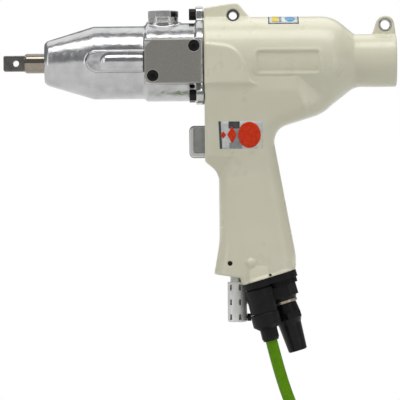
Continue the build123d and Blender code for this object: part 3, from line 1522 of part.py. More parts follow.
tie_out = Vector(cos(radians(TIE_ANGLE)), sin(radians(TIE_ANGLE)), 0)
tie_middle = Vector(*COIL_CENTRE, BENCH_Z + TIE_THICK + coil_height / 2) + tie_out * COIL_MID_R
with BuildPart() as coil_tie:
    with BuildSketch(Plane(origin=tie_middle, x_dir=tie_out, z_dir=tie_out.cross(Vector(0, 0, 1)))):
        RectangleRounded(2 * (coil_half + TIE_THICK), coil_height + 2 * TIE_THICK, CABLE_R + TIE_THICK)
        RectangleRounded(2 * coil_half + 0.7, coil_height + 0.1, CABLE_R, mode=Mode.SUBTRACT)
    extrude(amount=TIE_WIDTH / 2, both=True)
coil_tie.part.label = "coil_tie"
pieces.append(coil_tie)

# Plug on the far end of the cable
tail_end = Vector(TAIL_ROUTE[-1])
far_line = Plane(
    origin=tail_end,
    x_dir=(tail_end - Vector(TAIL_ROUTE[-2])).normalized(),
    z_dir=(0, 0, 1),
)
turned(
    "far_plug_back",
    far_line,
    [
        (0, 0),
        (0, CABLE_R + 0.9),
        (FAR_BACK * 0.5, CABLE_R + 1.3),
        (FAR_BACK * 0.6, FAR_BACK_R),
        (FAR_BACK, FAR_BACK_R),
        (FAR_BACK, 0),
    ],
)
turned(
    "far_plug_sleeve",
    far_line,
    [
        (FAR_BACK, 0),
        (FAR_BACK, FAR_PLUG_R - 0.6),
        (FAR_BACK + 0.6, FAR_PLUG_R),
        (FAR_BACK + FAR_SLEEVE - 0.6, FAR_PLUG_R),
        (FAR_BACK + FAR_SLEEVE, FAR_PLUG_R - 0.6),
        (FAR_BACK + FAR_SLEEVE, FAR_BORE_R),
        (FAR_BACK + FAR_SLEEVE - FAR_BORE, FAR_BORE_R),
        (FAR_BACK + FAR_SLEEVE - FAR_BORE, 0),
    ],
)

for piece in pieces:
    export_step(piece.part, f"parts/{piece.part.label}.step")
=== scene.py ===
import math

import bmesh
import bpy
import numpy as np
from mathutils import Matrix, Vector
from mathutils.bvhtree import BVHTree


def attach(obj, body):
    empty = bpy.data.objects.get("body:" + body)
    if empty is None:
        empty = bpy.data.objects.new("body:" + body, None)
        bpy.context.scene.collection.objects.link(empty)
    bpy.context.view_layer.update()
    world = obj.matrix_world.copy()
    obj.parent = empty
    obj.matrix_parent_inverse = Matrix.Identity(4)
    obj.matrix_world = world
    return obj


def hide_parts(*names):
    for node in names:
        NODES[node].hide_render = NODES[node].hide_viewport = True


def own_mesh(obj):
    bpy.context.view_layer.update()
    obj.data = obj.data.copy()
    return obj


# Air-driven impulse wrench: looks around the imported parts, in metres.
# +X points to the rear, +Z is up and the operator's left side faces -Y.
MM = 0.001
AXIS_Z = -28.0 * MM
BENCH_Z = -300.0 * MM

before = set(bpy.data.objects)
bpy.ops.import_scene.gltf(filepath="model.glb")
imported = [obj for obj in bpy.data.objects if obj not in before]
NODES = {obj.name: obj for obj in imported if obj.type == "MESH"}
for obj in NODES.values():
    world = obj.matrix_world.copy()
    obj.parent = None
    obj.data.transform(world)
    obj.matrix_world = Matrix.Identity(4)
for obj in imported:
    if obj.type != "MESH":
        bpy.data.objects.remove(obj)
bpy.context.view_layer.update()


def soft_step(value, low, high):
    """0 below low, 1 above high, smooth between, for a number or an array."""
    share = np.clip((value - low) / (high - low), 0, 1)
    return share * share * (3 - 2 * share)


# Camera at the photograph's viewing angle
CAMERA_SPOT = (-21.03 * MM, -2600.0 * MM, -112.06 * MM)
CAMERA_ROLL = math.radians(0.52)
VIEW_WIDTH = 244.0 * MM
SENSOR = 36.0


def make_camera():
    """Level camera square to the tool's left side, with the photograph's slight roll."""
    data = bpy.data.cameras.new("camera")
    data.sensor_width = SENSOR
    data.lens = SENSOR * -CAMERA_SPOT[1] / VIEW_WIDTH
    data.clip_start = 0.01
    data.clip_end = 50
    camera = bpy.data.objects.new("camera", data)
    right = Vector((math.cos(CAMERA_ROLL), 0, -math.sin(CAMERA_ROLL)))
    up = Vector((math.sin(CAMERA_ROLL), 0, math.cos(CAMERA_ROLL)))
    turn = Matrix((right, up, right.cross(up))).transposed().to_4x4()
    camera.matrix_world = Matrix.Translation(CAMERA_SPOT) @ turn
    bpy.context.scene.collection.objects.link(camera)
    bpy.context.scene.camera = camera


make_camera()


# Node-based materials
def shader(name):
    """New material with its node tree and its main shader."""
    made = bpy.data.materials.new(name)
    made.use_nodes = True
    tree = made.node_tree
    return made, tree, tree.nodes["Principled BSDF"]


def add(tree, kind, **values):
    """Node of that kind, with its attributes set by name."""
    node = tree.nodes.new(kind)
    for key, value in values.items():
        setattr(node, key, value)
    return node


def spots(tree, scale, detail=3.0, stretch=(1, 1, 1)):
    """Noise over the object's own coordinates, with the scale in cycles a metre."""
    place = add(tree, "ShaderNodeTexCoord")
    mapping = add(tree, "ShaderNodeMapping")
    mapping.inputs["Scale"].default_value = stretch
    noise = add(tree, "ShaderNodeTexNoise")
    noise.inputs["Scale"].default_value = scale
    noise.inputs["Detail"].default_value = detail
    tree.links.new(place.outputs["Object"], mapping.inputs["Vector"])
    tree.links.new(mapping.outputs["Vector"], noise.inputs["Vector"])
    return noise.outputs["Fac"]


def coordinate(tree, axis, space="Object"):
    """One coordinate of the point that is shaded."""
    place = add(tree, "ShaderNodeTexCoord")
    split = add(tree, "ShaderNodeSeparateXYZ")
    tree.links.new(place.outputs[space], split.inputs["Vector"])
    return split.outputs[axis]


def ranged(tree, source, low, high, from_low=0.3, from_high=0.7):
    """A value mapped to low..high, by default from the noise's usual spread."""
    node = add(tree, "ShaderNodeMapRange")
    node.inputs["From Min"].default_value = from_low
    node.inputs["From Max"].default_value = from_high
    node.inputs["To Min"].default_value = low
    node.inputs["To Max"].default_value = high
    tree.links.new(source, node.inputs["Value"])
    return node.outputs["Result"]


def between(tree, factor, first, second):
    """Colour between two colours or sockets."""
    node = add(tree, "ShaderNodeMix", data_type="RGBA")
    for socket, value in ((node.inputs[6], first), (node.inputs[7], second)):
        if isinstance(value, bpy.types.NodeSocket):
            tree.links.new(value, socket)
        else:
            socket.default_value = (*value, 1)
    tree.links.new(factor, node.inputs[0])
    return node.outputs[2]


def srgb(red, green, blue):
    """Linear colour of an sRGB one in 0..255."""
    return tuple(
        c / 12.92 if c <= 0.04045 else ((c + 0.055) / 1.055) ** 2.4
        for c in (red / 255, green / 255, blue / 255)
    )


def bumped(tree, main, layers, edge=0.0):
    """Bump from (height socket, depth in metres) layers, over edges rounded by a bevel."""
    normal = None
    if edge:
        bevel = add(tree, "ShaderNodeBevel", samples=4)
        bevel.inputs["Radius"].default_value = edge
        normal = bevel.outputs["Normal"]
    for height, depth in layers:
        bump = add(tree, "ShaderNodeBump")
        bump.inputs["Strength"].default_value = 1.0
        bump.inputs["Distance"].default_value = depth
        tree.links.new(height, bump.inputs["Height"])
        if normal is not None:
            tree.links.new(normal, bump.inputs["Normal"])
        normal = bump.outputs["Normal"]
    if normal is not None:
        tree.links.new(normal, main.inputs["Normal"])


WEAR_AND_HIGHLIGHT_REACH = 1.6
WEAR_AND_HIGHLIGHT_FACING = (0.86, 0.995)


def edge_share(tree, radius):
    """1 along sharp edges, where handling rubs a finish off and where a painted highlight stands for the
    light that edges catch, and 0 on flat faces.
    """
    bevel = add(tree, "ShaderNodeBevel", samples=6)
    bevel.inputs["Radius"].default_value = radius * WEAR_AND_HIGHLIGHT_REACH
    facing = add(tree, "ShaderNodeNewGeometry")
    along = add(tree, "ShaderNodeVectorMath", operation="DOT_PRODUCT")
    tree.links.new(bevel.outputs["Normal"], along.inputs[0])
    tree.links.new(facing.outputs["Normal"], along.inputs[1])
    return ranged(tree, along.outputs["Value"], 1, 0, *WEAR_AND_HIGHLIGHT_FACING)


def surface(
    name,
    dark,
    light,
    metal=0.0,
    rough=(0.3, 0.4),
    mottle=120.0,
    grain=900.0,
    grain_depth=0.00002,
    wave=0.0,
    wave_depth=0.0,
    stretch=(1, 1, 1),
    coat=0.0,
    coat_rough=0.08,
    edge=0.0,
    sheen=0.0,
    specular=0.5,
    wear_and_highlight=None,
):
    """General finish: two colours mixed by a mottle, roughness by another, and a fine grain in relief."""
    made, tree, main = shader(name)
    colour = between(tree, ranged(tree, spots(tree, mottle, stretch=stretch), 0, 1), dark, light)
    # Lighter colour along sharp edges: partly rubbed-off finish, partly painted highlight
    if wear_and_highlight:
        colour = between(tree, edge_share(tree, edge), colour, wear_and_highlight)
    tree.links.new(colour, main.inputs["Base Color"])
    uneven = ranged(tree, spots(tree, mottle * 1.7, 4.0, stretch=stretch), *rough)
    tree.links.new(uneven, main.inputs["Roughness"])
    main.inputs["Metallic"].default_value = metal
    main.inputs["Coat Weight"].default_value = coat
    main.inputs["Coat Roughness"].default_value = coat_rough
    main.inputs["Sheen Weight"].default_value = sheen
    main.inputs["Specular IOR Level"].default_value = specular
    layers = [(spots(tree, grain, 2.0, stretch=stretch), grain_depth)]
    if wave:
        layers.append((spots(tree, wave, 1.0, stretch=stretch), wave_depth))
    bumped(tree, main, layers, edge)
    return made


IVORY = srgb(222, 219, 197)
IVORY_DEEP = srgb(218, 214, 190)

enamel = surface(
    "ivory_enamel", IVORY_DEEP, IVORY, rough=(0.26, 0.34), mottle=45.0, grain=700.0,
    grain_depth=0.000012, wave=60.0, wave_depth=0.0001, coat=0.25, coat_rough=0.1,
)
plug_enamel = surface(
    "rear_plug_enamel", IVORY_DEEP, IVORY, rough=(0.3, 0.42), mottle=60.0, grain=1200.0,
    grain_depth=0.00002, edge=0.0005,
)
casting = surface(
    "polished_casting", (0.44, 0.442, 0.44), (0.54, 0.54, 0.535), metal=1.0, rough=(0.17, 0.28),
    mottle=110.0, grain=1100.0, grain_depth=0.000012, wave=180.0, wave_depth=0.00024,
)
# Its lighter edge colour is partly rubbed-off finish and partly painted highlight
cover = surface(
    "blasted_plate", srgb(137, 134, 128), srgb(147, 144, 138), metal=0.75, rough=(0.44, 0.5),
    mottle=900.0, grain=3000.0, grain_depth=0.00003, edge=0.0004, wear_and_highlight=srgb(214, 212, 206),
)
# Its lighter edge colour is partly rubbed-off finish and partly painted highlight
plated = surface(
    "dull_plating", (0.30, 0.30, 0.29), (0.40, 0.40, 0.385), metal=1.0, rough=(0.16, 0.28),
    mottle=260.0, grain=1500.0, grain_depth=0.00001, edge=0.0004, wear_and_highlight=(0.56, 0.56, 0.54),
)
brushed = surface(
    "brushed_plating", (0.64, 0.64, 0.62), (0.90, 0.90, 0.88), metal=0.5, rough=(0.48, 0.6),
    mottle=300.0, grain=900.0, grain_depth=0.00001, stretch=(1, 1, 0.15), edge=0.0004,
)
ground_steel = surface(
    "ground_steel", (0.18, 0.16, 0.14), (0.26, 0.235, 0.205), metal=1.0, rough=(0.14, 0.22),
    mottle=200.0, grain=1800.0, grain_depth=0.000006, stretch=(4, 1, 1), edge=0.0003,
)
dark_steel = surface(
    "dark_steel", (0.07, 0.068, 0.062), (0.11, 0.107, 0.1), metal=1.0, rough=(0.28, 0.4),
    mottle=300.0, grain=1500.0, grain_depth=0.00001, edge=0.0003,
)
black_oxide = surface(
    "black_oxide", (0.004, 0.004, 0.004), (0.011, 0.010, 0.009), rough=(0.3, 0.42),
    mottle=260.0, grain=2200.0, grain_depth=0.00001, edge=0.0004, specular=0.2,
)
black_satin = surface(
    "black_satin", (0.005, 0.005, 0.005), (0.010, 0.010, 0.010), rough=(0.4, 0.52),
    mottle=160.0, grain=1600.0, grain_depth=0.00002, edge=0.0005, specular=0.18,
)
black_moulded = surface(
    "black_moulded", (0.006, 0.006, 0.0062), (0.012, 0.012, 0.0125), rough=(0.42, 0.55),
    mottle=180.0, grain=2600.0, grain_depth=0.00002, edge=0.0005, specular=0.18,
)
pale_ring = surface(
    "pale_ring", (0.42, 0.35, 0.26), (0.58, 0.51, 0.41), metal=0.9, rough=(0.25, 0.4),
    mottle=300.0, grain=2000.0, grain_depth=0.00001, edge=0.0003,
)
cast_iron = surface(
    "machined_iron", (0.16, 0.16, 0.165), (0.26, 0.26, 0.265), metal=0.9, rough=(0.4, 0.55),
    mottle=240.0, grain=1800.0, grain_depth=0.00003,
)
resin = surface(
    "laminated_resin", (0.16, 0.075, 0.03), (0.30, 0.16, 0.07), rough=(0.45, 0.6),
    mottle=300.0, grain=1500.0, grain_depth=0.00003, stretch=(1, 5, 5),
)
bronze = surface(
    "turned_bronze", (0.36, 0.21, 0.07), (0.52, 0.33, 0.14), metal=1.0, rough=(0.22, 0.36),
    mottle=200.0, grain=1800.0, grain_depth=0.00002,
)
copper = surface(
    "copper_winding", (0.42, 0.16, 0.08), (0.62, 0.27, 0.14), metal=1.0, rough=(0.25, 0.4),
    mottle=220.0, grain=2200.0, grain_depth=0.00006, stretch=(6, 1, 1),
)
gasket_paper = surface(
    "gasket_paper", srgb(134, 130, 116), srgb(152, 148, 132), rough=(0.6, 0.75),
    mottle=500.0, grain=2600.0, grain_depth=0.00002,
)
rubber = surface(
    "matt_rubber", (0.010, 0.010, 0.010), (0.022, 0.022, 0.022), rough=(0.6, 0.8),
    mottle=200.0, grain=2400.0, grain_depth=0.00004, specular=0.3,
)
board = surface(
    "solder_mask", (0.005, 0.07, 0.025), (0.012, 0.13, 0.05), rough=(0.25, 0.4),
    mottle=400.0, grain=2500.0, grain_depth=0.00003,
)
felt = surface(
    "pressed_felt", (0.42, 0.41, 0.38), (0.62, 0.61, 0.57), rough=(0.85, 0.98),
    mottle=500.0, grain=3500.0, grain_depth=0.00015, sheen=0.4,
)
jacket = surface(
    "green_jacket", srgb(88, 138, 0), srgb(102, 157, 6), rough=(0.34, 0.46),
    mottle=90.0, grain=1400.0, grain_depth=0.00001, wave=260.0, wave_depth=0.00004, specular=0.14,
)

# Where the trigger's recess turns into its rim, and where the drive square turns into the shaft
TRIGGER_RIM_Y = (6.6 * MM, 6.8 * MM)
SQUARE_END_X = (-127.4 * MM, -126.6 * MM)


def make_trigger_finish():
    """Blasted metal in the recess of the trigger's side, and a polished rim round it whose lighter colour
    is partly a painted highlight.
    """
    made, tree, main = shader("trigger_metal")
    side = add(tree, "ShaderNodeMath", operation="ABSOLUTE")
    tree.links.new(coordinate(tree, "Y"), side.inputs[0])
    rim = ranged(tree, side.outputs["Value"], 0, 1, *TRIGGER_RIM_Y)
    mottle = ranged(tree, spots(tree, 260.0, 4.0), 0, 1)
    blasted = between(tree, mottle, (0.28, 0.28, 0.272), (0.34, 0.34, 0.33))
    # The rim's lighter colours are partly its polish and partly a painted highlight
    rim_polish_and_highlight = between(tree, mottle, (0.52, 0.52, 0.50), (0.60, 0.60, 0.58))
    tree.links.new(between(tree, rim, blasted, rim_polish_and_highlight), main.inputs["Base Color"])
    tree.links.new(ranged(tree, rim, 0.44, 0.3, 0, 1), main.inputs["Roughness"])
    main.inputs["Metallic"].default_value = 0.9
    bumped(tree, main, [(spots(tree, 2500.0, 2.0), 0.00001)], 0.0005)
    return made


def make_drive_steel():
    """Ground steel on the shaft, and a darker hardened finish on the drive square."""
    made, tree, main = shader("drive_steel")
    shaft = ranged(tree, coordinate(tree, "X"), 0, 1, *SQUARE_END_X)
    mottle = ranged(tree, spots(tree, 350.0, 4.0), 0, 1)
    square = between(tree, mottle, (0.105, 0.10, 0.09), (0.155, 0.15, 0.135))
    turned = between(tree, mottle, (0.27, 0.235, 0.195), (0.31, 0.275, 0.23))
    tree.links.new(between(tree, shaft, square, turned), main.inputs["Base Color"])
    tree.links.new(ranged(tree, shaft, 0.36, 0.05, 0, 1), main.inputs["Roughness"])
    main.inputs["Metallic"].default_value = 1.0
    rings = spots(tree, 900.0, 2.0, stretch=(6, 0.3, 0.3))
    bumped(tree, main, [(rings, 0.000002)], 0.0003)
    return made


drive_steel = make_drive_steel()
trigger_metal = make_trigger_finish()

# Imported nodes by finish
FINISHES = {
    cover: ["side_cover"],
    trigger_metal: ["trigger"],
    plated: ["oil_plug", "silencer_neck", "plug_washer"],
    brushed: ["silencer_sleeve"],
    dark_steel: ["eye_bush"],
    gasket_paper: ["flange_gasket"],
    ground_steel: [
        "trigger_rod", "trigger_spring", "valve_spring", "shut_off_spring", "blade_springs",
        "pulse_blades", "pulse_liner", "liner_front_plate", "liner_rear_plate", "encoder_ring",
        "front_bearing", "rear_bearing", "motor_cylinder", "rotor", "shut_off_plunger", "inlet_strainer",
    ],
    pale_ring: ["retaining_ring"],
    drive_steel: ["anvil"],
    cast_iron: ["front_end_plate", "rear_end_plate"],
    black_oxide: [
        "flange_screws", "side_cover_screws", "base_screws", "silencer_screws", "grip_screws",
        "inlet_bushing", "swivel_body",
    ],
    black_satin: ["base_plate"],
    black_moulded: [
        "connector_receptacle", "coupling_nut", "connector_shell", "cable_clamp", "far_plug_back",
        "far_plug_sleeve",
    ],
    plug_enamel: ["rear_plug"],
    resin: ["rotor_vanes", "throttle_valve"],
    bronze: ["nose_bush", "valve_sleeve"],
    copper: ["torque_coil", "shut_off_coil"],
    rubber: ["nose_seal", "swivel_seal", "coil_tie"],
    board: ["sensor_board", "angle_sensor"],
    felt: ["silencer_felt"],
    jacket: ["cable_tube", "cable_coil", "cable_tail"],
    casting: ["clutch_case"],
    enamel: ["motor_housing"],
}
for finish, names in FINISHES.items():
    for name in names:
        for slot in NODES[name].material_slots:
            slot.material = finish


# Cable: out of the clamp, down to the bench, twelve turns of a tied coil, and the tail with its plug
CABLE_R = 3.7 * MM
CABLE_START = [(21.596, -9.2, -197.846), (26.972, -9.2, -219.900)]
CABLE_ROUTE = [
    (35.6, -9.2, -243.4),
    (45.2, 2.8, -262.2),
    (49.3, 23.6, -273.3),
]
TAIL_ROUTE = [
    (2.4, 2.7, -295.5),
    (20.4, 1.5, -295.5),
    (38.0, -3.0, -291.5),
    (55.6, -7.0, -291.5),
]
COIL_CENTRE = (4.4, 47.6)
COIL_RADII = (44.9, 37.5, 30.1)
COIL_LEVELS = (-273.3, -280.7, -288.1, -295.5)
TURN_POINTS = 16
COLUMN_STEP = (240.0, 300.0)
LEVEL_STEP = (300.0, 360.0)
LAST_ANGLE = 255.0


def coil_points():
    """Control points of the coil's turns, from the top layer's outer turn to the bottom layer's."""
    turns = []
    for layer, level in enumerate(COIL_LEVELS):
        radii = COIL_RADII if layer % 2 == 0 else COIL_RADII[::-1]
        turns += [(radius, level) for radius in radii]
    grow = 1 / math.cos(math.pi / TURN_POINTS)
    points = []
    for number, (radius, level) in enumerate(turns):
        radius_next, level_next = turns[min(number + 1, len(turns) - 1)]
        for step in range(TURN_POINTS):
            angle = 360.0 * step / TURN_POINTS
            if number == len(turns) - 1 and angle > LAST_ANGLE:
                break
            r = radius + (radius_next - radius) * soft_step(angle, *COLUMN_STEP)
            z = level + (level_next - level) * soft_step(angle, *LEVEL_STEP)
            x = COIL_CENTRE[0] + r * grow * math.cos(math.radians(angle))
            y = COIL_CENTRE[1] + r * grow * math.sin(math.radians(angle))
            points.append((x, y, z))
    return points


def make_cable():
    """Round cable on one smooth spline."""
    route = CABLE_START + CABLE_ROUTE + coil_points() + TAIL_ROUTE
    data = bpy.data.curves.new("signal_cable", "CURVE")
    data.dimensions = "3D"
    data.bevel_depth = CABLE_R
    data.bevel_resolution = 5
    data.resolution_u = 6
    data.use_fill_caps = True
    spline = data.splines.new("NURBS")
    spline.points.add(len(route) - 1)
    for point, spot in zip(spline.points, route):
        point.co = (*(MM * c for c in spot), 1)
    spline.order_u = 3
    spline.use_endpoint_u = True
    data.materials.append(jacket)
    cable = bpy.data.objects.new("signal_cable", data)
    bpy.context.scene.collection.objects.link(cable)
    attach(cable, "root")
    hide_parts("cable_tube", "cable_coil", "cable_tail")


make_cable()


# Pieces made in the scene: the mesh, its material and the body that it rides on
WELD = 0.001 * MM


def new_piece(name, mesh, material, smooth=True):
    """Piece on the tool's root body."""
    mesh.materials.clear()
    mesh.materials.append(material)
    if smooth:
        mesh.polygons.foreach_set("use_smooth", np.ones(len(mesh.polygons), dtype=bool))
    piece = bpy.data.objects.new(name, mesh)
    bpy.context.scene.collection.objects.link(piece)
    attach(piece, "root")
    return piece


def node_mesh(name):
    """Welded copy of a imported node's mesh."""
    mesh = NODES[name].data.copy()
    work = bmesh.new()
    work.from_mesh(mesh)
    bmesh.ops.remove_doubles(work, verts=work.verts, dist=WELD)
    work.to_mesh(mesh)
    work.free()
    return mesh


# Skins of the two castings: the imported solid, with its edges and corners softened as in a casting
VOXEL = 0.7 * MM


def remeshed(name):
    """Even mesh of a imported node."""
    source = bpy.data.objects.new(name + "_source", node_mesh(name))
    bpy.context.scene.collection.objects.link(source)
    change = source.modifiers.new("even", "REMESH")
    change.mode = "VOXEL"
    change.voxel_size = VOXEL
    graph = bpy.context.evaluated_depsgraph_get()
    mesh = bpy.data.meshes.new_from_object(source.evaluated_get(graph))
    bpy.data.objects.remove(source)
    return mesh


def places_of(mesh):
    """Vertex places as an array of rows."""
    flat = np.empty(len(mesh.vertices) * 3)
    mesh.vertices.foreach_get("co", flat)
    return flat.reshape(-1, 3)


STEP_IN = 0.5
STEP_OUT = -0.53


def smooth_mesh(mesh, passes, weight=1.0, steps=(STEP_IN, STEP_OUT)):
    """Smooth a mesh in passes, each a step in and a step out by default, which keeps the size."""
    places = places_of(mesh)
    weights = np.ones(len(places)) * weight
    ends = np.empty(len(mesh.edges) * 2, dtype=np.int64)
    mesh.edges.foreach_get("vertices", ends)
    first, second = ends[0::2], ends[1::2]
    count = np.bincount(ends, minlength=len(places)).astype(float)
    for number in range(passes):
        for step in steps:
            mean = np.empty_like(places)
            for axis in range(3):
                total = np.bincount(first, places[second, axis], len(places))
                total += np.bincount(second, places[first, axis], len(places))
                mean[:, axis] = total / count
            places += (mean - places) * (step * weights)[:, None]
    mesh.vertices.foreach_set("co", places.ravel())
    mesh.update()


def add_skin(name, node, material):
    """Even mesh that stands for a packed casting."""
    mesh = remeshed(node)
    mesh.name = name
    mesh.polygons.foreach_set("material_index", np.zeros(len(mesh.polygons), dtype=np.int32))
    skin = new_piece(name, mesh, material)
    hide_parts(node)
    return skin


# Forms that the housing skin gets, in millimetres: (low, high) limits and (x, z) places
FIN_X = (-18.8, 12.0)
FIN_ROOT_Z = -3.5
FIN_HALF = 8.0
FIN_DRAFT = 0.026
GRIP_SIDE_Y = -16.6
BASE_BEYOND_Y = -9.5
BASE_BELOW_Z = -140.0
BASE_FACING = (0.1, 0.4)
BOSS_X = 14.4
BOSS_HALF = 6.6
BOSS_Z = -160.0
BOSS_RISE = 7.8
BOSS_PROUD = (4.6, 0.8)
BOSS_POWER = 4
BUMP_SPOT = (9.6, -150.6)
BUMP_R = 3.0
BUMP_HEIGHT = 1.7
LIP_LOW = (4.4, -164.2)
LIP_START_X = (3.4, 5.4)
LIP_TURN = math.radians(16.35)
LIP_HEIGHT = 2.2
LIP_PROUD = 1.3
BARREL_R = 27.2
PANEL_X = (13.9, 51.8)
PANEL_Z = (-35.4, -22.4)
PANEL_CORNER = 1.5
PANEL_DEPTH = 0.9
PANEL_WALL = (-0.5, 0.3)
PANEL_LIP = 0.35
PANEL_LIP_OUT = 0.9
PANEL_LIP_HALF = 1.1
PANEL_REACH = 2.2
PANEL_BEYOND_Y = 20.0
PANEL_SKIN_R = (25.2, 28.2)
BELLY_X = (48.0, 58.0, 76.0, 81.0)
BELLY_Z = (-80.0, -72.0, -44.0, -37.0)
BELLY_PASSES = 160
HOUSING_PASSES = 5
NOSE_PASSES = 4
LAST_PASSES = 1


def region(value, limits):
    """1 between the inner two limits, falling to 0 at the outer two, for arrays."""
    return soft_step(value, *limits[:2]) * (1 - soft_step(value, *limits[2:]))


def blend_belly(mesh):
    """Run the barrel's rear shoulder and the web behind the grip into one flowing curve."""
    places = places_of(mesh) / MM
    share = region(places[:, 0], BELLY_X) * region(places[:, 2], BELLY_Z)
    smooth_mesh(mesh, BELLY_PASSES, share, (STEP_IN,))


def shape_panel(x, y, z):
    """Even sinking of the bare panel on both sides of the barrel, with a fine lip round it."""
    middle = [sum(PANEL_X) / 2, sum(PANEL_Z) / 2]
    half = [(PANEL_X[1] - PANEL_X[0]) / 2, (PANEL_Z[1] - PANEL_Z[0]) / 2]
    past_x = np.abs(x - middle[0]) - half[0] + PANEL_CORNER
    past_z = np.abs(z - middle[1]) - half[1] + PANEL_CORNER
    outside = np.hypot(np.maximum(past_x, 0), np.maximum(past_z, 0))
    outside += np.minimum(np.maximum(past_x, past_z), 0) - PANEL_CORNER
    axis_z = AXIS_Z / MM
    radius = np.hypot(y, z - axis_z)
    target = BARREL_R - PANEL_DEPTH * (1 - soft_step(outside, *PANEL_WALL))
    target += PANEL_LIP * np.clip(1 - np.abs(outside - PANEL_LIP_OUT) / PANEL_LIP_HALF, 0, 1)
    inside = (outside < PANEL_REACH) & (np.abs(y) > PANEL_BEYOND_Y)
    inside &= (radius > PANEL_SKIN_R[0]) & (radius < PANEL_SKIN_R[1])
    scale = np.where(inside, target / radius, 1.0)
    y *= scale
    z += (z - axis_z) * (scale - 1)


def shape_base(x, y, z, left):
    """Rounded boss and bump over the cable connector, and the flared lip along the grip's base.

    left is how far a vertex faces the left side, from -1 to 1.
    """
    outer = soft_step(left, *BASE_FACING) * (y < BASE_BEYOND_Y) * (z < BASE_BELOW_Z)
    risen = np.maximum(z - BOSS_Z, 0) / BOSS_RISE
    inside = 1 - ((x - BOSS_X) / BOSS_HALF) ** BOSS_POWER - risen ** BOSS_POWER
    height = np.clip((z - LIP_LOW[1]) / (BOSS_Z + BOSS_RISE - LIP_LOW[1]), 0, 1)
    proud = BOSS_PROUD[0] + (BOSS_PROUD[1] - BOSS_PROUD[0]) * height
    boss_y = np.where(inside > 0, GRIP_SIDE_Y - proud * np.sqrt(np.maximum(inside, 0)), 0)
    shaped = np.minimum(np.maximum(y, GRIP_SIDE_Y), boss_y)
    bump = np.clip(1 - ((x - BUMP_SPOT[0]) ** 2 + (z - BUMP_SPOT[1]) ** 2) / BUMP_R ** 2, 0, 1)
    shaped -= BUMP_HEIGHT * np.sqrt(bump)
    above = (z - LIP_LOW[1]) * math.cos(LIP_TURN) - (x - LIP_LOW[0]) * math.sin(LIP_TURN)
    lip = np.clip(1 - above / LIP_HEIGHT, 0, 1) * soft_step(x, *LIP_START_X)
    shaped -= LIP_PROUD * lip
    y += (shaped - y) * outer


def shape_housing(mesh):
    """Draft on the suspension fin, the sunk panels, and the forms round the cable connector."""
    places = places_of(mesh) / MM
    x, y, z = places[:, 0], places[:, 1], places[:, 2]
    fin = (z > FIN_ROOT_Z) & (np.abs(y) < FIN_HALF) & (x > FIN_X[0]) & (x < FIN_X[1])
    y[fin] *= 1.0 - FIN_DRAFT * z[fin]
    shape_panel(x, y, z)
    normals = np.empty(len(mesh.vertices) * 3)
    mesh.vertices.foreach_get("normal", normals)
    shape_base(x, y, z, -normals[1::3])
    mesh.vertices.foreach_set("co", (places * MM).ravel())
    mesh.update()


housing = add_skin("housing_skin", "motor_housing", enamel)
smooth_mesh(housing.data, HOUSING_PASSES)
blend_belly(housing.data)
shape_housing(housing.data)
smooth_mesh(housing.data, LAST_PASSES)
nose = add_skin("nose_skin", "clutch_case", casting)
smooth_mesh(nose.data, NOSE_PASSES)


def add_spring(name, node):
    """Copy of a packed spring, with a mesh of its own."""
    spring = new_piece(name, node_mesh(node), ground_steel, smooth=False)
    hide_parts(node)
    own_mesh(spring)


add_spring("trigger_return_spring", "trigger_spring")
add_spring("valve_return_spring", "valve_spring")


# Blank labels and the black end of the sunk set screw, as thin films on the housing skin
LABEL_COLOURS = {
    "white": ((200, 204, 202), (224, 226, 224)),
    "dark": ((58, 64, 66), (84, 90, 92)),
    "grey": ((128, 134, 136), (158, 162, 164)),
    "red": ((208, 42, 4), (232, 62, 10)),
    "yellow": ((206, 184, 40), (226, 204, 70)),
    "blue": ((66, 138, 190), (100, 166, 208)),
    "navy": ((78, 92, 110), (100, 114, 130)),
}
LABEL = {
    name: surface(
        "label_" + name, srgb(*dark), srgb(*light), rough=(0.2, 0.3), mottle=500.0,
        grain=2500.0, grain_depth=0.000005, specular=0.2,
    )
    for name, (dark, light) in LABEL_COLOURS.items()
}
FILM = 0.06 * MM
FILM_FOOT = 0.2 * MM
PATCH_POINTS = 9
ROUND_SIDES = 40
ROUND_SHARES = (0.04, 0.35, 0.7, 1.0)
RAY_START = 100.0 * MM
skin_tree = BVHTree.FromPolygons(
    [vertex.co for vertex in housing.data.vertices],
    [face.vertices[:] for face in housing.data.polygons],
)


def side_place(x, z):
    """Skin point and outward direction, found square from the left side, from millimetres."""
    start = Vector((x * MM, -RAY_START, z * MM))
    hit, normal, _, _ = skin_tree.ray_cast(start, Vector((0, 1, 0)))
    return hit, normal


def top_place(x, angle):
    """Skin point and outward direction on the barrel, at degrees from the top towards the left."""
    out = Vector((0, -math.sin(math.radians(angle)), math.cos(math.radians(angle))))
    start = Vector((x * MM, 0, AXIS_Z)) + out * RAY_START
    hit, normal, _, _ = skin_tree.ray_cast(start, -out)
    return hit, normal


def mesh_of(name, work):
    """Mesh of a finished bmesh, with its faces turned outwards."""
    bmesh.ops.recalc_face_normals(work, faces=work.faces)
    mesh = bpy.data.meshes.new(name)
    work.to_mesh(mesh)
    work.free()
    return mesh


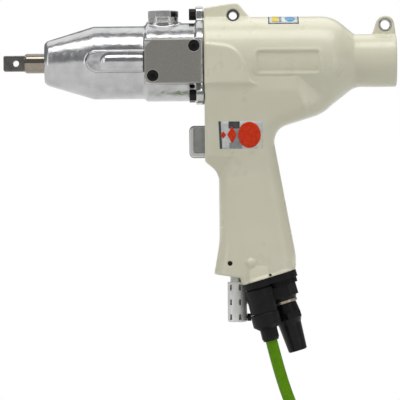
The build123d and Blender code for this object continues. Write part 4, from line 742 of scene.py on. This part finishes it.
def add_film(name, rows, layer, material, closed=False):
    """Thin film over a grid of skin points, the layers stacked outwards."""
    work = bmesh.new()
    sheets = []
    for lift in (FILM * layer, FILM * layer - FILM_FOOT):
        sheets.append([[work.verts.new(hit + normal * lift) for hit, normal in row] for row in rows])
    top, low = sheets
    count = len(rows[0])
    ends = count if closed else count - 1
    for a in range(len(rows) - 1):
        for b in range(ends):
            c = (b + 1) % count
            work.faces.new((top[a][b], top[a][c], top[a + 1][c], top[a + 1][b]))
    rims = [(top[-1], low[-1])]
    if closed:
        work.faces.new(top[0])
    else:
        rims += [(top[0], low[0])]
        rims += [([row[0] for row in top], [row[0] for row in low])]
        rims += [([row[-1] for row in top], [row[-1] for row in low])]
    for high, foot in rims:
        for b in range(len(high) if closed else len(high) - 1):
            c = (b + 1) % len(high)
            work.faces.new((high[b], high[c], foot[c], foot[b]))
    for vert in [vert for row in low for vert in row if not vert.link_faces]:
        work.verts.remove(vert)
    new_piece(name, mesh_of(name, work), material)


def add_patch(name, place, x, z, layer, material, skew=0.0):
    """Four-sided film between two values of each coordinate, leaning by skew."""
    rows = [
        [place(a + skew * share, z[0] + (z[1] - z[0]) * share) for a in np.linspace(*x, PATCH_POINTS)]
        for share in np.linspace(0, 1, PATCH_POINTS)
    ]
    add_film(name, rows, layer, material)


def add_round(name, place, centre, radii, layer, material, sides=ROUND_SIDES):
    """Round or, with four sides, diamond-shaped film."""
    rows = []
    for share in ROUND_SHARES:
        row = []
        for turn in range(sides):
            angle = 2 * math.pi * turn / sides
            x = centre[0] + radii[0] * share * math.cos(angle)
            z = centre[1] + radii[1] * share * math.sin(angle)
            row.append(place(x, z))
        rows.append(row)
    add_film(name, rows, layer, material, closed=True)


# Side label, by x and z in millimetres, and top label, by x and degrees from the top
SIDE_Z = (-81.2, -64.6)
add_patch("side_label", side_place, (-8.8, 17.2), SIDE_Z, 1, LABEL["white"])
add_patch("side_label_bar", side_place, (-8.7, -7.3), SIDE_Z, 2, LABEL["dark"], -0.8)
add_patch("side_label_block_low", side_place, (-3.0, 4.6), (-81.1, -77.6), 2, LABEL["grey"])
add_patch("side_label_block_high", side_place, (-3.4, 3.4), (-69.0, -64.7), 2, LABEL["dark"])
add_patch("side_label_block_mid", side_place, (-0.6, 3.4), (-77.6, -69.0), 2, LABEL["grey"])
add_round("side_label_diamond", side_place, (-1.3, -72.8), (2.9, 5.4), 3, LABEL["red"], 4)
add_round("side_label_spot", side_place, (-6.6, -72.8), (1.8, 2.2), 3, LABEL["red"], 4)
add_round("side_label_disc", side_place, (9.2, -72.9), (6.9, 7.9), 3, LABEL["red"])
add_patch("top_label_border", top_place, (21.3, 39.9), (-16, 35), 1, LABEL["navy"])
add_patch("top_label", top_place, (22.0, 39.2), (-14, 33), 2, LABEL["white"])
add_patch("top_label_yellow", top_place, (23.6, 27.4), (4, 30), 3, LABEL["yellow"])
add_patch("top_label_dark", top_place, (27.8, 29.4), (8, 30), 3, LABEL["grey"])
add_round("top_label_blue", top_place, (34.6, 20), (3.2, 9.5), 3, LABEL["blue"])
add_round("base_set_screw", side_place, (21.2, -157.9), (0.85, 0.85), 1, black_oxide, 16)


# Plated ring in the rear lug's hole, across the tool, in millimetres: painted shade that stands for the
# shade in the hole's chamfer
RING_SPOT = (92.7, -6.3)
RING_INNER_R = 2.9
RING_OUTER_R = 3.75
RING_HALF = 4.7
RING_LIP = 0.25


def make_eye_shade_ring():
    """Ring with its rims chamfered on both sides."""
    edge = RING_HALF - RING_LIP
    left = [
        (RING_INNER_R, -edge), (RING_INNER_R + RING_LIP, -RING_HALF),
        (RING_OUTER_R - RING_LIP, -RING_HALF), (RING_OUTER_R, -edge),
    ]
    profile = left + [(radius, -across) for radius, across in left[::-1]]
    work = bmesh.new()
    rows = []
    for turn in range(ROUND_SIDES):
        angle = 2 * math.pi * turn / ROUND_SIDES
        row = []
        for radius, across in profile:
            x = RING_SPOT[0] + radius * math.cos(angle)
            z = RING_SPOT[1] + radius * math.sin(angle)
            row.append(work.verts.new((x * MM, across * MM, z * MM)))
        rows.append(row)
    for a in range(ROUND_SIDES):
        for b in range(len(profile)):
            c = (b + 1) % len(profile)
            d = (a + 1) % ROUND_SIDES
            work.faces.new((rows[a][b], rows[a][c], rows[d][c], rows[d][b]))
    # Grey ring as painted shade for the shaded chamfer of the lug's hole
    new_piece("rear_eye_shade_ring", mesh_of("rear_eye_shade_ring", work), plated)


make_eye_shade_ring()


# Floor, studio light and background
WHITE = (1.0, 1.0, 1.0)
HORIZON = (0.05, 0.09)
SEEN_ABOVE = (0.25, 0.26, 0.27)
LIGHT_SPREAD = (-0.3, 0.8)
LIGHT_BELOW = (0.40, 0.40, 0.40)
LIGHT_ABOVE = (0.44, 0.44, 0.44)
FLOOR_HALF = 4.0
FLOOR_TINTS = ((0.70, 0.70, 0.69), (0.74, 0.74, 0.73))
FLOOR_FADE = (0.32, 0.5)
FLOOR_MIRRORED = 0.8


def background_share(tree):
    """1 for rays from the camera and for those that a mirror or glass passes on."""
    path = add(tree, "ShaderNodeLightPath")
    largest = path.outputs["Is Camera Ray"]
    for name in ("Is Glossy Ray", "Is Transmission Ray"):
        pick = add(tree, "ShaderNodeMath", operation="MAXIMUM")
        tree.links.new(largest, pick.inputs[0])
        tree.links.new(path.outputs[name], pick.inputs[1])
        largest = pick.outputs["Value"]
    return largest


def make_world():
    """White up to the horizon and grey above it for what is seen, and a soft even light for the rest."""
    world = bpy.data.worlds.new("studio")
    world.use_nodes = True
    bpy.context.scene.world = world
    tree = world.node_tree
    tree.nodes.clear()
    height = coordinate(tree, "Z", "Generated")
    seen = between(tree, ranged(tree, height, 0, 1, *HORIZON), WHITE, SEEN_ABOVE)
    ambient = between(tree, ranged(tree, height, 0, 1, *LIGHT_SPREAD), LIGHT_BELOW, LIGHT_ABOVE)
    colour = between(tree, background_share(tree), ambient, seen)
    shine = add(tree, "ShaderNodeBackground")
    tree.links.new(colour, shine.inputs["Color"])
    shine.inputs["Strength"].default_value = 1.0
    out = add(tree, "ShaderNodeOutputWorld")
    tree.links.new(shine.outputs["Background"], out.inputs["Surface"])


def make_floor():
    """Pale bench top that fades to white away from the tool, and is nearly white in reflections."""
    mesh = bpy.data.meshes.new("floor")
    signs = ((-1, -1), (1, -1), (1, 1), (-1, 1))
    corners = [(x * FLOOR_HALF, y * FLOOR_HALF, BENCH_Z) for x, y in signs]
    mesh.from_pydata(corners, [], [(0, 1, 2, 3)])
    floor = bpy.data.objects.new("floor", mesh)
    bpy.context.scene.collection.objects.link(floor)
    made, tree, main = shader("bench_top")
    tint = between(tree, ranged(tree, spots(tree, 8.0), 0, 1), *FLOOR_TINTS)
    tree.links.new(tint, main.inputs["Base Color"])
    main.inputs["Roughness"].default_value = 0.6
    place = add(tree, "ShaderNodeTexCoord")
    reach = add(tree, "ShaderNodeVectorMath", operation="LENGTH")
    tree.links.new(place.outputs["Object"], reach.inputs[0])
    far = ranged(tree, reach.outputs["Value"], 0, 1, *FLOOR_FADE)
    path = add(tree, "ShaderNodeLightPath")
    mirrored = add(tree, "ShaderNodeMath", operation="MULTIPLY_ADD", use_clamp=True)
    tree.links.new(path.outputs["Is Glossy Ray"], mirrored.inputs[0])
    mirrored.inputs[1].default_value = FLOOR_MIRRORED
    tree.links.new(far, mirrored.inputs[2])
    share = add(tree, "ShaderNodeMath", operation="MULTIPLY")
    tree.links.new(mirrored.outputs["Value"], share.inputs[0])
    tree.links.new(background_share(tree), share.inputs[1])
    white = add(tree, "ShaderNodeEmission")
    white.inputs["Color"].default_value = (*WHITE, 1)
    blend = add(tree, "ShaderNodeMixShader")
    tree.links.new(share.outputs["Value"], blend.inputs["Fac"])
    tree.links.new(main.outputs["BSDF"], blend.inputs[1])
    tree.links.new(white.outputs["Emission"], blend.inputs[2])
    tree.links.new(blend.outputs["Shader"], tree.nodes["Material Output"].inputs["Surface"])
    mesh.materials.append(made)


# Lamps: name, place, point aimed at, width and height in metres, and power in watts
TARGET = (-0.02, 0.0, -0.08)
SOFTBOXES = [
    ("top_softbox", (0.0, -0.21, 0.57), (0.0, -0.21, 0.0), 1.0, 0.32, 3.3),
    ("rear_softbox", (0.0, 0.36, 0.50), (0.0, 0.05, 0.0), 1.0, 0.45, 1.5),
    ("left_softbox", (-1.1, -0.7, 0.35), TARGET, 0.3, 0.9, 1.5),
    ("right_softbox", (1.0, -0.9, 0.1), TARGET, 0.3, 0.8, 1.1),
]


def add_softbox(name, spot, target, width, height, power):
    """Rectangular lamp aimed at a point."""
    data = bpy.data.lights.new(name, "AREA")
    data.shape = "RECTANGLE"
    data.size = width
    data.size_y = height
    data.energy = power
    lamp = bpy.data.objects.new(name, data)
    lamp.location = spot
    aim = Vector(target) - Vector(spot)
    lamp.rotation_euler = aim.to_track_quat("-Z", "Y").to_euler()
    bpy.context.scene.collection.objects.link(lamp)


make_world()
make_floor()
for softbox in SOFTBOXES:
    add_softbox(*softbox)

view = bpy.context.scene.view_settings
view.view_transform = "Standard"
